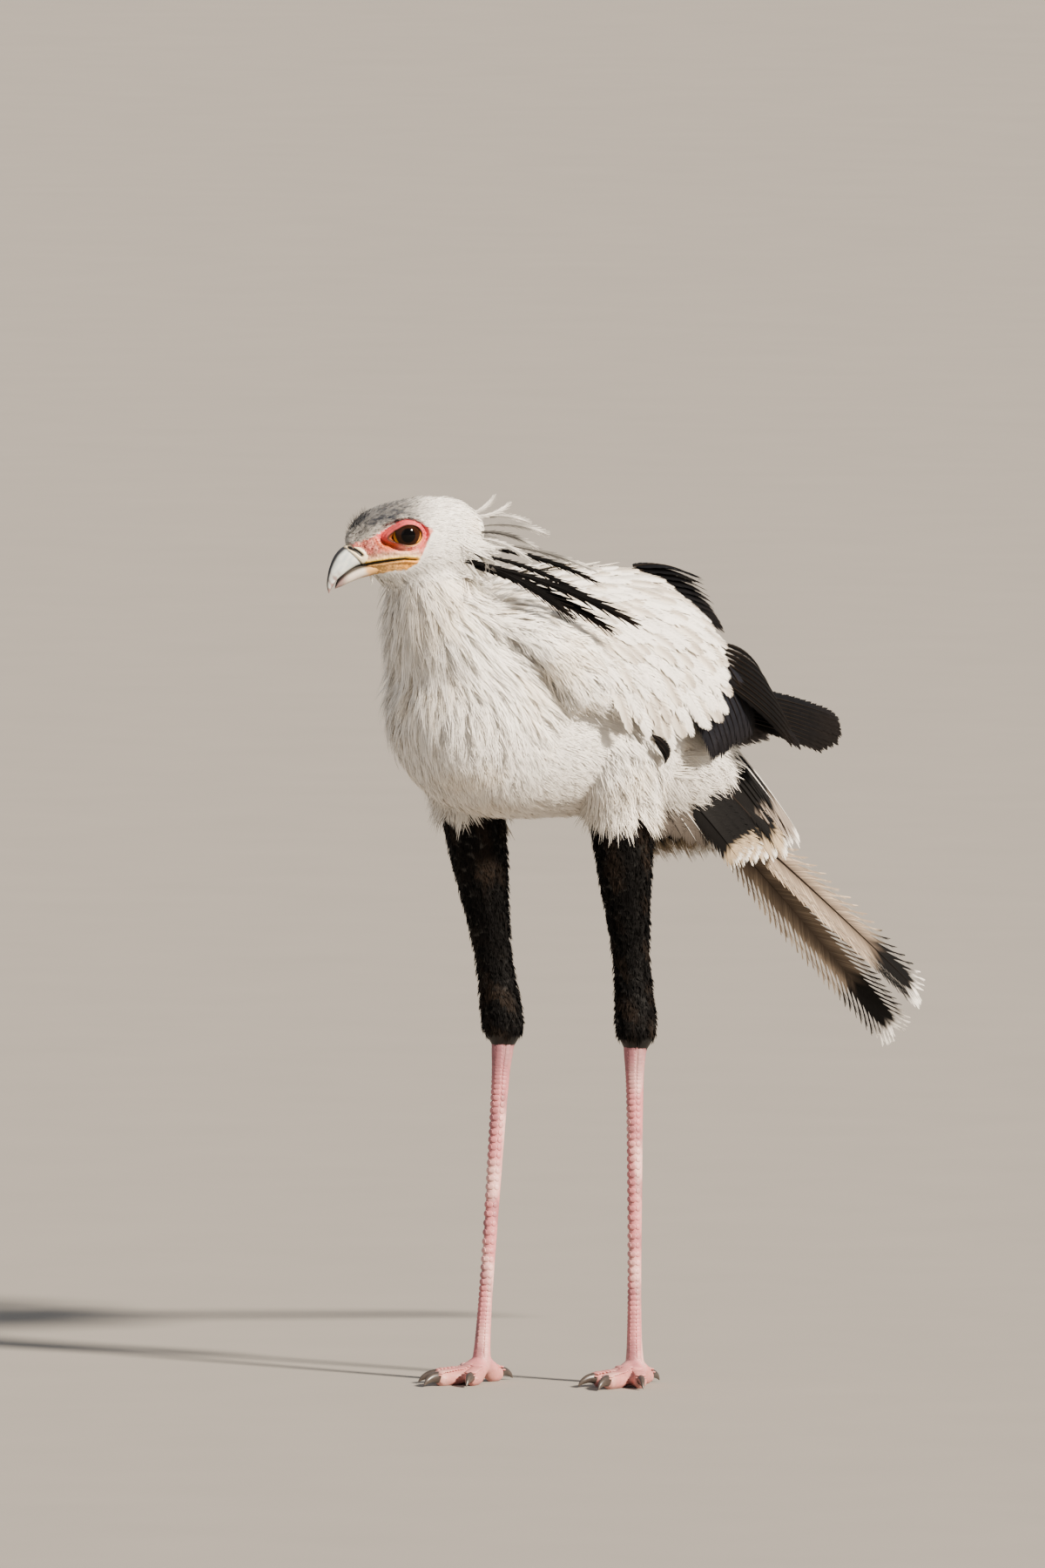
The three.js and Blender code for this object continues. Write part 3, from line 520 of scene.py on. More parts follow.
LOWER_BILL_ROWS = np.array([
    [20, -24.5, 0.6 * BILL, 4, 4],
    [32, -25.3, 0.92 * BILL, 5, 6],
    [45, -28.0, 0.88 * BILL, 5.6, 6.8],
    [56, -31.3, 0.74 * BILL, 6, 6.4],
    [66, -36.6, 0.54 * BILL, 5.4, 5],
    [73, -42.0, 0.3 * BILL, 3.4, 3],
    [77, -46.4, 0, 0, 0],
])
# The bare skin of the face: [forward, up] along its upper and lower edges, and along the mouth
BARE_TOP = np.array([
    [-13, 9.6], [-3, 15.5], [6, 18.6], [15, 18.3], [25, 15], [33, 10], [39, 7], [46, 4], [52, 1], [62, -4],
])
BARE_BOTTOM = np.array([
    [-13, 9.6], [-8.6, 3.8], [-5, -6], [-1, -15.5], [2, -22], [11, -28], [23, -29.5], [34, -32], [50, -35.5],
    [62, -40],
])
MOUTH = np.array([[2.5, -18.6], [15, -17.6], [29, -19.3], [44, -22], [55, -25], [62, -28.5]])
SHANK_ROWS = np.array([
    [-0.28, 0, 16, 18],
    [-0.12, -2, 30, 34],
    [0.12, 0, 29, 32],
    [0.35, 1, 24, 26],
    [0.6, 2, 20, 21],
    [0.82, 3, 21, 24],
    [0.93, 3, 21, 25],
    [1.0, 1, 16, 18],
    [1.03, 0, 9, 10],
])
TARSUS_ROWS = np.array([
    [-0.07, 5, 6],
    [-0.04, 11, 13],
    [0.02, 11, 12.5],
    [0.12, 8.6, 10.5],
    [0.4, 7.6, 9],
    [0.75, 7, 8.2],
    [0.92, 8, 9],
    [1, 10, 10.5],
    [1.02, 7, 8],
])
TAIL_ROOT_ROWS = np.array([
    [0, 190, 606, 20, 20, 20],
    [0, 206, 594, 46, 36, 50],
    [1, 232, 576, 44, 30, 44],
    [2, 258, 560, 34, 22, 34],
    [3, 278, 546, 20, 10, 18],
    [4, 290, 538, 6, 3, 4],
])
WING_FRONT_ROWS = [
    [-176, 690, 0.66 * WING_HALF, 68, 85],
    [-120, 688, 0.86 * WING_HALF, 90, 106],
    [-50, 682, 0.97 * WING_HALF, 104, 122],
]
WING_ROWS = {
    1: np.array(WING_FRONT_ROWS + [
        [30, 674, WING_HALF, 114, 126],
        [110, 660, 0.96 * WING_HALF, 118, 112],
        [190, 643, 0.86 * WING_HALF, 88, 88],
        [270, 628, 0.7 * WING_HALF, 48, 58],
        [350, 616, 0.52 * WING_HALF, 24, 34],
        [430, 603, 0.38 * WING_HALF, 21, 27],
        [510, 593, 0.3 * WING_HALF, 20, 22],
    ]),
    -1: np.array(WING_FRONT_ROWS + [
        [30, 676, WING_HALF, 112, 128],
        [110, 668, 0.96 * WING_HALF, 116, 118],
        [190, 662, 0.86 * WING_HALF, 118, 98],
        [270, 656, 0.72 * WING_HALF, 118, 80],
        [350, 648, 0.54 * WING_HALF, 88, 54],
        [430, 632, 0.38 * WING_HALF, 46, 32],
        [510, 616, 0.24 * WING_HALF, 16, 14],
    ]),
}


def head_rows(rows: Array) -> Array:
    """Rows [forward, up, half width, high, low] of the head's frame as rows of the bird's frame."""
    return np.concatenate([head_point(rows[:, 0], np.zeros(len(rows)), rows[:, 1]), rows[:, 2:]], axis=1)


@dataclass(frozen=True)
class Sided:
    """A thing that the bird has on each side: 1 is its left and -1 its right."""

    side: int

    @property
    def name(self) -> str:
        """The end of its nodes' names."""
        return "left" if self.side > 0 else "right"


@dataclass(frozen=True)
class Leg(Sided):
    """One leg's joints, and what grows along it."""

    thigh: Place
    heel: Place
    foot: Place

    def thigh_rows(self) -> Array:
        """The rows of the thigh."""
        x, y, _ = self.thigh
        side = self.side
        return np.array([
            [x - side * 14, y - 20, 700, 0, 0, 0],
            [x - side * 10, y - 18, 690, 26, 34, 34],
            [x, y - 12, 645, 43, 62, 62],
            [x + side * 2, y - 6, 600, 43, 62, 60],
            [x + side, y - 2, 560, 37, 46, 46],
            [x, y, 534, 28, 33, 33],
            [x, y, 526, 0, 0, 0],
        ])

    def along(self, start: tuple, end: tuple, rows: Array, back: Array) -> Array:
        """Rows spread between two joints by their first number."""
        at = mix(np.array(start), np.array(end), rows[:, :1])
        at[:, 1] += back
        wide, deep = rows[:, -2:-1], rows[:, -1:]
        return np.concatenate([at, wide, deep, deep], axis=1)

    def shank_rows(self) -> Array:
        """The rows of the shank."""
        return self.along(self.thigh, self.heel, SHANK_ROWS, SHANK_ROWS[:, 1])

    def tarsus_rows(self) -> Array:
        """The rows of the tarsus."""
        return self.along(self.heel, self.foot, TARSUS_ROWS, np.zeros(len(TARSUS_ROWS)))


@dataclass(frozen=True)
class Toe:
    """One toe: its turn from straight ahead in degrees, its length and its half width."""

    name: str
    turn: float
    length: float
    wide: float

    def direction(self, leg: Leg) -> tuple[Array, Array]:
        """The way the toe points and the way across it."""
        angle = math.radians(leg.side * (self.turn + FOOT_TURN))
        along = np.array((math.sin(angle), -math.cos(angle), 0.0))
        return along, np.array((math.cos(angle), math.sin(angle), 0.0))

    def at(self, leg: Leg, reach: float, height: float) -> Array:
        """The place at a reach along the toe and a height over the floor."""
        spot = np.array(leg.foot) + self.direction(leg)[0] * reach
        spot[2] = height
        return spot

    def rows(self, leg: Leg) -> Array:
        """The rows of the toe."""
        shape = [
            (-4, SOLE + 3, 0.6, 0.6),
            (4, SOLE + 1, 1, 1),
            (14, SOLE - 3, 1, 0.95),
            (0.45 * self.length, 8, 0.9, 0.98),
            (0.62 * self.length, 7.2, 0.96, 1),
            (0.8 * self.length, 7, 0.8, 0.92),
            (0.95 * self.length, 6.6, 0.8, 0.86),
            (self.length + 1, 6.4, 0.3, 0.3),
        ]
        return np.array([[*self.at(leg, reach, z), w * self.wide, h * 8, h * 8] for reach, z, w, h in shape])

    def claw_rows(self, leg: Leg) -> Array:
        """The rows of the claw."""
        shape = [(-6, 8, 0.3), (-2, 8.6, 0.62), (6, 8.4, 0.5), (13, 5.6, 0.32), (17.5, 1.6, 0.06)]
        return np.array([
            [*self.at(leg, self.length + reach, z), 0.8 * w * self.wide, w * self.wide, w * self.wide]
            for reach, z, w in shape
        ])


FOOT_TURN = 9.0
LEGS = (
    Leg(1, (68, 29, 533), (66, 53, HEEL), (68, 50, SOLE)),
    Leg(-1, (-68, -22, 533), (-66, 20, HEEL), (-68, -13, SOLE)),
)
TOES = (
    Toe("inner", -32, 46, 8.5),
    Toe("middle", 0, 60, 9),
    Toe("outer", 34, 44, 8),
    Toe("hind", 176, 28, 8),
)


@dataclass(frozen=True)
class Wing(Sided):
    """One folded wing. Its feathers fan out from a point on the ridge over the shoulder."""

    fan_y: float = -190.0
    fan_radius: float = 115.0

    def point(self, y: Array, angle: Array, out: Array) -> Array:
        """Places over the wing.

        Args:
            y: Along the body.
            angle: Degrees down from the ridge of the back.
            out: How far above the wing's surface.

        Returns:
            The places, in millimetres of the bird's frame.
        """
        y, angle, out = np.broadcast_arrays(*(np.asarray(v, float) for v in (y, angle, out)))
        row = rows_for(WING_ROWS[self.side], y)
        a = np.radians(angle)
        c, s = np.cos(a), np.abs(np.sin(a)) ** WING_SQUARE
        tall = np.where(c > 0, row[..., 3], row[..., 4]) + out
        height = row[..., 1] + np.sign(c) * np.abs(c) ** WING_SQUARE * tall
        return np.stack([self.side * (row[..., 2] + out) * s, y, height], axis=-1)

    def fan(self, reach: Array, fan: Array) -> tuple[Array, Array]:
        """The y and the angle at a reach from the fan's point, fan degrees down from straight back."""
        turned = np.radians(fan)
        return self.fan_y + reach * np.cos(turned), np.degrees(reach * np.sin(turned) / self.fan_radius)

    def spines(
        self, y: Array, angle: Array, droop: Array, length: Array, level: Array, lift: Array, steps: int
    ) -> tuple[Array, Array]:
        """The middle lines of vanes that lie over the wing.

        Args:
            y: Where each root is along the body.
            angle: Where it is round the wing, in degrees.
            droop: How far each vane turns down from straight back, in degrees.
            length: Of each vane.
            level: Of each root over the wing's surface.
            lift: How far each vane rises towards its tip, in degrees.
            steps: Points along each line, less one.

        Returns:
            The lines and the directions that the vanes face, in metres.
        """
        t = np.linspace(0, 1, steps + 1)
        along = t * length[:, None]
        down, back = np.sin(np.radians(droop))[:, None], np.cos(np.radians(droop))[:, None]
        at = y[:, None] + along * back
        turned = angle[:, None] + np.degrees(along * down / self.fan_radius)
        out = level[:, None] + along * np.tan(np.radians(lift))[:, None]
        lines = self.point(at, turned, out)
        face = unit(self.point(at, turned, out + 2) - lines)
        return place(lines), face

    def hull(self, outer: float, inner: float) -> tuple[Array, list[list[int]]]:
        """The closed body of the wing under its coverts, as points and faces."""
        rows, columns = 26, 40
        down, along = np.meshgrid(np.linspace(0, 1, rows), np.linspace(0, 1, columns), indexing="ij")
        y = mix(-158 + 62 * down * down, mix(158.0, 30.0, down**1.5), along)
        rim = np.minimum(np.minimum(down, 1 - down) * rows, np.minimum(along, 1 - along) * columns) / 3
        rim = np.clip(rim, 0, 1) ** 0.5
        angle = mix(10.0, 104.0, down)
        skins = [
            self.point(y, angle, mix((outer + inner) / 2, level, rim)).reshape(-1, 3)
            for level in (outer, inner)
        ]
        size = rows * columns
        top = grid_quads(rows, columns)
        quads = top.tolist() + (top[:, ::-1] + size).tolist()
        i, j = np.arange(rows - 1), np.arange(columns - 1)
        for low, high in (
            ((i + 1) * columns, i * columns),
            (i * columns + columns - 1, (i + 1) * columns + columns - 1),
            (j, j + 1),
            ((rows - 1) * columns + j + 1, (rows - 1) * columns + j),
        ):
            quads += np.stack([low, high, high + size, low + size], axis=-1).tolist()
        return np.concatenate(skins), quads


WINGS = (Wing(1), Wing(-1))


class Region(Enum):
    """The parts of the skin that a coat grows on, and those that stay bare."""

    TORSO = 0
    NECK = 1
    HEAD = 2
    THIGH = 3
    SHANK = 4
    TAIL = 5
    WING = 6
    BARE = 7


def steady(x: float, y: float, z: float) -> Callable[[Array], Array]:
    """A lie that is the same all over a part."""
    return lambda points: np.broadcast_to(np.array((x, y, z), float), points.shape)


def torso_lie(points: Array) -> Array:
    """The lie of the body's feathers: down over the breast and back along the body."""
    front = ease(-70, -190, points[:, 1])
    top = ease(690, 730, points[:, 2]) * (1 - front)
    rear = ease(90, 220, points[:, 1])
    back = mix(1.0, 0.3, front)
    down = mix(mix(0.28, 1.1, front), 0.05, top) + 0.35 * rear
    return np.stack([np.zeros(len(points)), back, -down], axis=-1)


def head_lie(points: Array) -> Array:
    """The lie of the head's feathers: back from the bill, and down over the cheeks and throat."""
    forward, _, up = head_frame(points)
    down = ease(-4, -34, up) * mix(1.1, 2.0, ease(10, 40, forward)) + 0.35 * ease(0, -60, forward)
    return -FORWARD[None] * (1 - 0.35 * ease(-20, -44, up))[:, None] - UP[None] * down[:, None]


def neck_lie(points: Array) -> Array:
    """The lie of the hackles: down, and a little back on the sides."""
    side = ease(10, 45, np.abs(points[:, 0]))
    back = 0.1 + 0.75 * side + 0.5 * ease(-180, -150, points[:, 1])
    back = back + 0.8 * ease(735, 780, points[:, 2]) * ease(-240, -200, points[:, 1])
    return np.stack([0.2 * np.sign(points[:, 0]) * side, back, -np.ones(len(points))], axis=-1)


@dataclass
class SkinPart:
    """A body that the skin is joined from: its closed surface, its region and the lie of its coat."""

    region: Region
    shell: tuple[Array, list[list[int]]]
    lie: Callable[[Array], Array]
    rings: int = 60
    sides: int = 48


@dataclass
class Roots:
    """Where feathers grow: places, normals, the lie, places on the unwrapped skin, and random draws."""

    point: Array
    normal: Array
    lie: Array
    unwrap: Array
    pick: Array

    def keep(self, wanted: Array) -> "Roots":
        """Only the wanted ones."""
        return Roots(*(getattr(self, n)[wanted] for n in ("point", "normal", "lie", "unwrap", "pick")))

    @property
    def bird(self) -> Array:
        """Their places in the bird's frame."""
        return unplace(self.point)


class Skin:
    """The one skin of the bird, which the coat follows.

    Attributes:
        voxel: The grid that its parts are joined on, in metres.
        near: How far round a part its points are looked for, in millimetres.
        rounds: How often the lie is evened out between neighbours.
        coat_depth: How deep under the plumage each part's skin lies, in millimetres.
    """

    voxel = 0.0035
    near = 12
    rounds = 24
    coat_depth = {"torso": 9.0, "neck": 5.0, "head": 3.2, "thigh": 11.0, "shank": 4.0, "tail": 9.0}

    def __init__(self) -> None:
        """Joins the parts, smooths them and finds the region, the lie and the unwrap of each point."""
        self.parts = self.make_parts()
        self.piece = self.join()
        self.refine()
        self.shape_face()
        self.read()
        self.label()

    def make_parts(self) -> list[SkinPart]:
        """The bodies that the skin is joined from.

        Returns:
            All of them, the torso first.
        """
        deep = self.coat_depth
        torso = Loft(TORSO_ROWS, power=2.15, upright=True)
        parts = [
            SkinPart(Region.TORSO, torso.shell(-deep["torso"]), torso_lie),
            SkinPart(Region.NECK, Loft(NECK_ROWS).shell(-deep["neck"]), neck_lie),
            SkinPart(Region.HEAD, Loft(head_rows(HEAD_ROWS), OUT_LEFT).shell(-deep["head"]), head_lie),
            SkinPart(Region.TAIL, Loft(TAIL_ROOT_ROWS).shell(-deep["tail"]), steady(0, 0.35, -1)),
        ]
        for wing in WINGS:
            parts.append(SkinPart(Region.WING, wing.hull(-7.0, -26.0), steady(0, 1, -0.8)))
        for leg in LEGS:
            thigh, shank, tarsus = map(Loft, (leg.thigh_rows(), leg.shank_rows(), leg.tarsus_rows()))
            parts += [
                SkinPart(Region.THIGH, thigh.shell(-deep["thigh"]), steady(0.08 * leg.side, 0.3, -1)),
                SkinPart(Region.SHANK, shank.shell(-deep["shank"]), steady(0, 0.05, -1)),
                SkinPart(Region.BARE, tarsus.shell(-1.1), steady(0, 0, -1)),
            ]
            for toe in TOES:
                shape = Loft(toe.rows(leg), toe.direction(leg)[1])
                parts.append(SkinPart(Region.BARE, shape.shell(0.2), steady(*toe.direction(leg)[0])))
        return parts

    def join(self) -> bpy.types.Object:
        """Joins the parts' surfaces into one closed surface.

        Returns:
            The skin's object.
        """
        points, faces, start = [], [], 0
        for part in self.parts:
            points.append(part.shell[0])
            faces += [[start + v for v in face] for face in part.shell[1]]
            start += len(part.shell[0])
        rough = bpy.data.meshes.new("skin_parts")
        rough.from_pydata(place(np.concatenate(points)).tolist(), [], faces)
        piece = bpy.data.objects.new("skin", rough)
        bpy.context.scene.collection.objects.link(piece)
        remesh = piece.modifiers.new("join", "REMESH")
        remesh.mode = "VOXEL"
        remesh.voxel_size = self.voxel
        relax = piece.modifiers.new("relax", "SMOOTH")
        relax.factor = 0.5
        relax.iterations = 3
        evaluated = piece.evaluated_get(bpy.context.evaluated_depsgraph_get())
        mesh = bpy.data.meshes.new_from_object(evaluated)
        piece.modifiers.clear()
        piece.data = mesh
        return piece

    def refine(self) -> None:
        """Divides the bare parts more finely: the face, the tarsi and the toes."""
        soft = bmesh.new()
        soft.from_mesh(self.piece.data)
        for chooses, times in ((self.is_bare, 1), (self.is_face, 2)):
            for _ in range(times):
                soft.verts.ensure_lookup_table()
                chosen = chooses(np.array([v.co[:] for v in soft.verts]))
                edges = [e for e in soft.edges if chosen[e.verts[0].index] and chosen[e.verts[1].index]]
                bmesh.ops.subdivide_edges(soft, edges=edges, cuts=1, use_grid_fill=True, smooth=0.6)
                soft.verts.index_update()
        soft.to_mesh(self.piece.data)
        soft.free()

    @staticmethod
    def is_bare(points: Array) -> Array:
        """Which points are on the tarsi and toes."""
        return points[:, 2] < (HEEL + 8) * MM

    @staticmethod
    def is_face(points: Array) -> Array:
        """Which points are on the bare skin of the face."""
        forward, out, up = head_frame(unplace(points))
        near = (forward > -17) & (forward < 64) & (up > -41) & (up < 24)
        return near & (np.abs(out) > 4) & (points[:, 2] > 0.77)

    def shape_face(self) -> None:
        """Models the brow, the hollow round each eye, the folds of the cheek and the corner of the gape."""
        mesh = self.piece.data
        bird = unplace(values_of(mesh.vertices, "co", 3))
        forward, out, up = head_frame(bird)
        side = np.sign(out)
        lateral = (np.abs(out) > 4) & (bird[:, 2] > 775) & (forward > -30) & (forward < 64)
        hollow = -6.0 * ease(17.5, 12.5, eye_distance(forward, up))
        brow = 2.2 * np.exp(-(((up - 21 + 0.012 * (forward - 14) ** 2) / 4) ** 2)) * ease(-16, 0, forward)
        cheek = 1.2 * np.exp(-(((up + 10) / 5) ** 2)) * ease(-6, 6, forward) * ease(54, 36, forward)
        line = up - np.interp(forward, *MOUTH.T)
        lips = 1.5 * np.exp(-(((np.abs(line) - 2.4) / 1.5) ** 2)) - 2.4 * np.exp(-((line / 1.0) ** 2))
        lips = lips * ease(-1, 5, forward) * ease(66, 58, forward)
        fold = 0.35 * ripple(bird * np.array((1.0, 1.0, 1.7)), 5.0, 3) + 0.22 * ripple(bird, 2.4, 4)
        _, bare = MARKINGS.face(forward, up, np.abs(out))
        move = (hollow + brow + cheek + lips + fold * bare) * lateral
        bird += (side * move)[:, None] * OUT_LEFT
        mesh.vertices.foreach_set("co", place(bird).ravel())
        mesh.update()

    def read(self) -> None:
        """Reads the skin's points, normals and faces, and makes the tree that finds its nearest place."""
        mesh = self.piece.data
        mesh.polygons.foreach_set("use_smooth", np.ones(len(mesh.polygons), bool))
        self.point, self.normal = (values_of(mesh.vertices, name, 3) for name in ("co", "normal"))
        mesh.calc_loop_triangles()
        self.triangles = values_of(mesh.loop_triangles, "vertices", 3, np.int32)
        self.tree = BVHTree.FromPolygons(self.point.tolist(), self.triangles.tolist())
        self.edges = values_of(mesh.edges, "vertices", 2, np.int32)
        log.info("skin: %d triangles", len(self.triangles))

    def label(self) -> None:
        """Gives each point its nearest part's region and lie, and its place on that part's unwrap."""
        bird = unplace(self.point)
        best = np.full(len(bird), np.inf)
        self.region = np.zeros(len(bird), int)
        self.lie = np.zeros_like(bird)
        self.unwrap = np.zeros((len(bird), 2))
        for part in self.parts:
            points, faces = part.shell
            low, high = points.min(0) - self.near, points.max(0) + self.near
            close = np.flatnonzero(np.all((bird > low) & (bird < high), axis=1))
            tree = BVHTree.FromPolygons(points.tolist(), faces)
            found = [tree.find_nearest(Vector(bird[i])) for i in close]
            distance = np.array([f[3] for f in found])
            face = np.array([f[2] for f in found])
            better = distance < best[close]
            chosen = close[better]
            best[chosen] = distance[better]
            self.region[chosen] = part.region.value
            self.lie[chosen] = part.lie(bird[chosen])
            ring, side = np.divmod(face[better], part.sides)
            along = np.clip(ring / part.rings, 0, 1)
            self.unwrap[chosen] = np.stack([(side + 0.5) / part.sides, along], axis=-1)
        self.lie = self.flat(self.lie)
        for _ in range(self.rounds):
            total = self.lie.copy()
            np.add.at(total, self.edges[:, 0], self.lie[self.edges[:, 1]])
            np.add.at(total, self.edges[:, 1], self.lie[self.edges[:, 0]])
            self.lie = self.flat(total)

    def flat(self, directions: Array) -> Array:
        """Directions brought into the skin's surface, at length one."""
        return unit(directions - self.normal * np.sum(directions * self.normal, axis=1, keepdims=True))

    def level(self, forward: Array, up: Array, side: int) -> Array:
        """How far out the skin of the head is, at places measured from the eye's middle."""
        far = 60.0
        start = place(head_point(forward + EYE_FORWARD, np.full(forward.shape, side * far), up + EYE_UP))
        inward = Vector(OUT_LEFT * -side)
        hits = np.array([self.tree.ray_cast(Vector(p), inward)[3] for p in start])
        return far - hits / MM

    def scatter(self, regions: tuple[Region, ...], spacing: float, seed: int) -> Roots:
        """Spreads roots evenly over some regions.

        Args:
            regions: Where they grow.
            spacing: How far apart, in metres.
            seed: Of the random draw.

        Returns:
            The roots.
        """
        rng = np.random.default_rng(seed)
        wanted = np.isin(self.region, [r.value for r in regions])
        triangles = self.triangles[wanted[self.triangles].all(axis=1)]
        corners = self.point[triangles]
        one, other = corners[:, 1] - corners[:, 0], corners[:, 2] - corners[:, 0]
        area = np.linalg.norm(np.cross(one, other), axis=1) / 2
        draws = 5
        count = int(area.sum() / spacing**2 * draws)
        chosen = rng.choice(len(triangles), count, p=area / area.sum())
        a, b = rng.random(count), rng.random(count)
        a, b = np.where(a + b > 1, 1 - a, a), np.where(a + b > 1, 1 - b, b)
        weights = np.stack([1 - a - b, a, b], axis=-1)[..., None]
        spots = (corners[chosen] * weights).sum(axis=1)
        cells = np.floor(spots / (spacing * 1.25)).astype(np.int64)
        _, first = np.unique(cells @ np.array((1, 100_003, 10_000_019)), return_index=True)
        first.sort()
        corner = triangles[chosen[first]]
        weights = weights[first]
        nearest = corner[:, 0]
        return Roots(
            spots[first],
            unit((self.normal[corner] * weights).sum(axis=1)),
            unit((self.lie[corner] * weights).sum(axis=1)),
            self.unwrap[nearest],
            rng.random(len(first)),
        )

    def walk(
        self, roots: Roots, lie: Array, length: Array, heights: Array, cling: float
    ) -> tuple[Array, Array]:
        """Lines that set out from the roots and follow the skin.

        Args:
            roots: Where they start.
            lie: The directions that they set out in.
            length: Of each line, in metres.
            heights: How high above the skin each step lies, for each line.
            cling: How far a line that rises too high is drawn back to its height, from 0 to 1.

        Returns:
            The lines' points and the skin's normals there, step by step.
        """
        steps = len(heights) - 1
        spot = roots.point + roots.normal * heights[0][:, None]
        direction = lie.copy()
        lines, normals = [spot], [roots.normal]
        stride = (length / steps)[:, None]
        find = self.tree.find_nearest
        for height in heights[1:]:
            ahead = spot + direction * stride
            found = [find(p) for p in ahead.tolist()]
            near = np.array([f[0][:] for f in found])
            normal = np.array([f[1][:] for f in found])
            over = np.sum((ahead - near) * normal, axis=1) - height
            lifted = ahead - normal * (over * np.where(over > 0, cling, 1.0))[:, None]
            direction = unit(mix(direction, unit(lifted - spot), 0.8))
            spot = lifted
            lines.append(spot)
            normals.append(normal)
        return np.stack(lines), np.stack(normals)


def turned(vectors: Array, axis: Array, angle: Array) -> Array:
    """Vectors turned about axes that they stand square to, by angles in radians."""
    angle = angle[..., None]
    return vectors * np.cos(angle) + np.cross(axis, vectors) * np.sin(angle)


@dataclass(frozen=True)
class Tuft:
    """One kind of loose feather: barbs that lie side by side from one root. Sizes are in metres.

    Attributes:
        length: From root to tip.
        breadth: Across at its widest.
        strands: How many barbs it is drawn with.
        steps: The lengths that each barb is made of.
        rise: How far its tip stands above the skin.
        splay: How wide it is at the tip: 0 pointed, 1 as wide as its middle.
        thick: How broad each barb is.
        stray: How far it turns from the lie, in radians.
        vary: How much lengths differ.
        cling: How closely it follows the skin.
        sink: How deep its root lies.
        soft: How far its shading follows the skin's, from 0 to 1.
        ragged: How much its barbs differ in length.
    """

    length: float
    breadth: float
    strands: int = 5
    steps: int = 3
    rise: float = 0.004
    splay: float = 0.8
    thick: float = 0.0016
    stray: float = 0.2
    vary: float = 0.25
    cling: float = 0.9
    sink: float = 0.0015
    soft: float = 0.6
    ragged: float = 0.3

    def grow(
        self, skin: Skin, roots: Roots, root: Array, tip: Array, seed: int, scale: Array | None = None
    ) -> MeshData:
        """Grows one tuft from each root.

        Args:
            skin: What they follow.
            roots: Where they grow.
            root: The linear colour at each root.
            tip: The linear colour at each tip.
            seed: Of the random draw.
            scale: Each tuft's size, where they differ.

        Returns:
            The tufts' mesh data.
        """
        rng = np.random.default_rng(seed)
        count, strands, steps = len(roots.point), self.strands, self.steps
        scale = np.ones(count) if scale is None else scale
        length = self.length * scale * (1 + self.vary * rng.uniform(-1, 1, count))
        lie = turned(roots.lie, roots.normal, rng.normal(0, self.stray, count))
        rise = self.rise * scale * rng.uniform(0.5, 1.4, count)
        t = np.linspace(0, 1, steps + 1)
        heights = np.stack([mix(-self.sink, rise, np.sin(s * math.pi / 2) ** 1.2) for s in t])
        lines, normals = skin.walk(roots, lie, length, heights, self.cling)
        spread = np.linspace(-1, 1, strands) if strands > 1 else np.zeros(1)
        lateral = spread + rng.uniform(-0.35, 0.35, (count, strands)) * 2 / max(strands, 2)
        reach = 1 - 0.25 * np.abs(lateral) - self.ragged * rng.random((count, strands))
        at = t[:, None, None] * np.clip(reach, 0.3, 1) * steps
        k = np.clip(np.floor(at).astype(int), 0, steps - 1)
        share = (at - k)[..., None]
        who = np.arange(count)[None, :, None]
        spot = mix(lines[k, who], lines[k + 1, who], share)
        normal = unit(mix(normals[k, who], normals[k + 1, who], share))
        along = unit(lines[k + 1, who] - lines[k, who])
        side = unit(np.cross(along, normal))
        s = t[:, None, None]
        fan = np.interp(s, [0, 0.4, 1], [0.35, 1.0, self.splay])
        half = self.breadth / 2 * scale[None, :, None]
        bend = rng.normal(0, 0.12, (count, strands)) * s**2
        spot = spot + side * ((lateral * fan + bend) * half)[..., None]
        crown = (1 - np.abs(lateral)) * half * 0.22
        crown = crown + rng.uniform(-0.3, 0.3, (count, strands)) * self.rise * s
        spot = spot + normal * (crown * np.sin(s * math.pi / 2))[..., None]
        roll = rng.normal(0, 0.35, (count, strands))[None] * np.ones_like(s) - lateral * 0.35
        flat = turned(side, along, roll)
        shape = np.interp(s, [0, 0.35, 0.75, 1], [0.8, 1, 0.75, 0.12])
        breadth = self.thick / 2 * scale[None, :, None] ** 0.5 * shape * np.ones(lateral.shape)
        edges = np.stack([spot - flat * breadth[..., None], spot + flat * breadth[..., None]], axis=-2)
        points = edges.transpose(1, 2, 0, 3, 4)
        shading = unit(mix(unit(np.cross(flat, along)), normal, self.soft))
        shading = np.repeat(shading[..., None, :], 2, axis=-2).transpose(1, 2, 0, 3, 4)
        tufts = count * strands
        quads = grid_quads(steps + 1, 2)[None] + (np.arange(tufts) * 2 * (steps + 1))[:, None, None]
        tone = 1 + rng.normal(0, 0.05, (count, strands, 1, 1)) + rng.normal(0, 0.05, (count, 1, 1, 1))
        fade = ease(0.0, 0.75, t)[None, None, :, None]
        colours = mix(root[:, None, None, :], tip[:, None, None, :], fade) * tone
        colours = np.repeat(np.clip(colours, 0, 1)[..., None, :], 2, axis=-2)
        across = np.stack([-breadth, breadth], axis=-1)
        distance = np.broadcast_to((t[:, None] * length)[:, :, None, None], across.shape)
        vane = np.stack([across, distance], axis=-1).transpose(1, 2, 0, 3, 4)
        return MeshData.shaped(points, quads, colours, vane, self.patches(roots, lateral, t), shading)

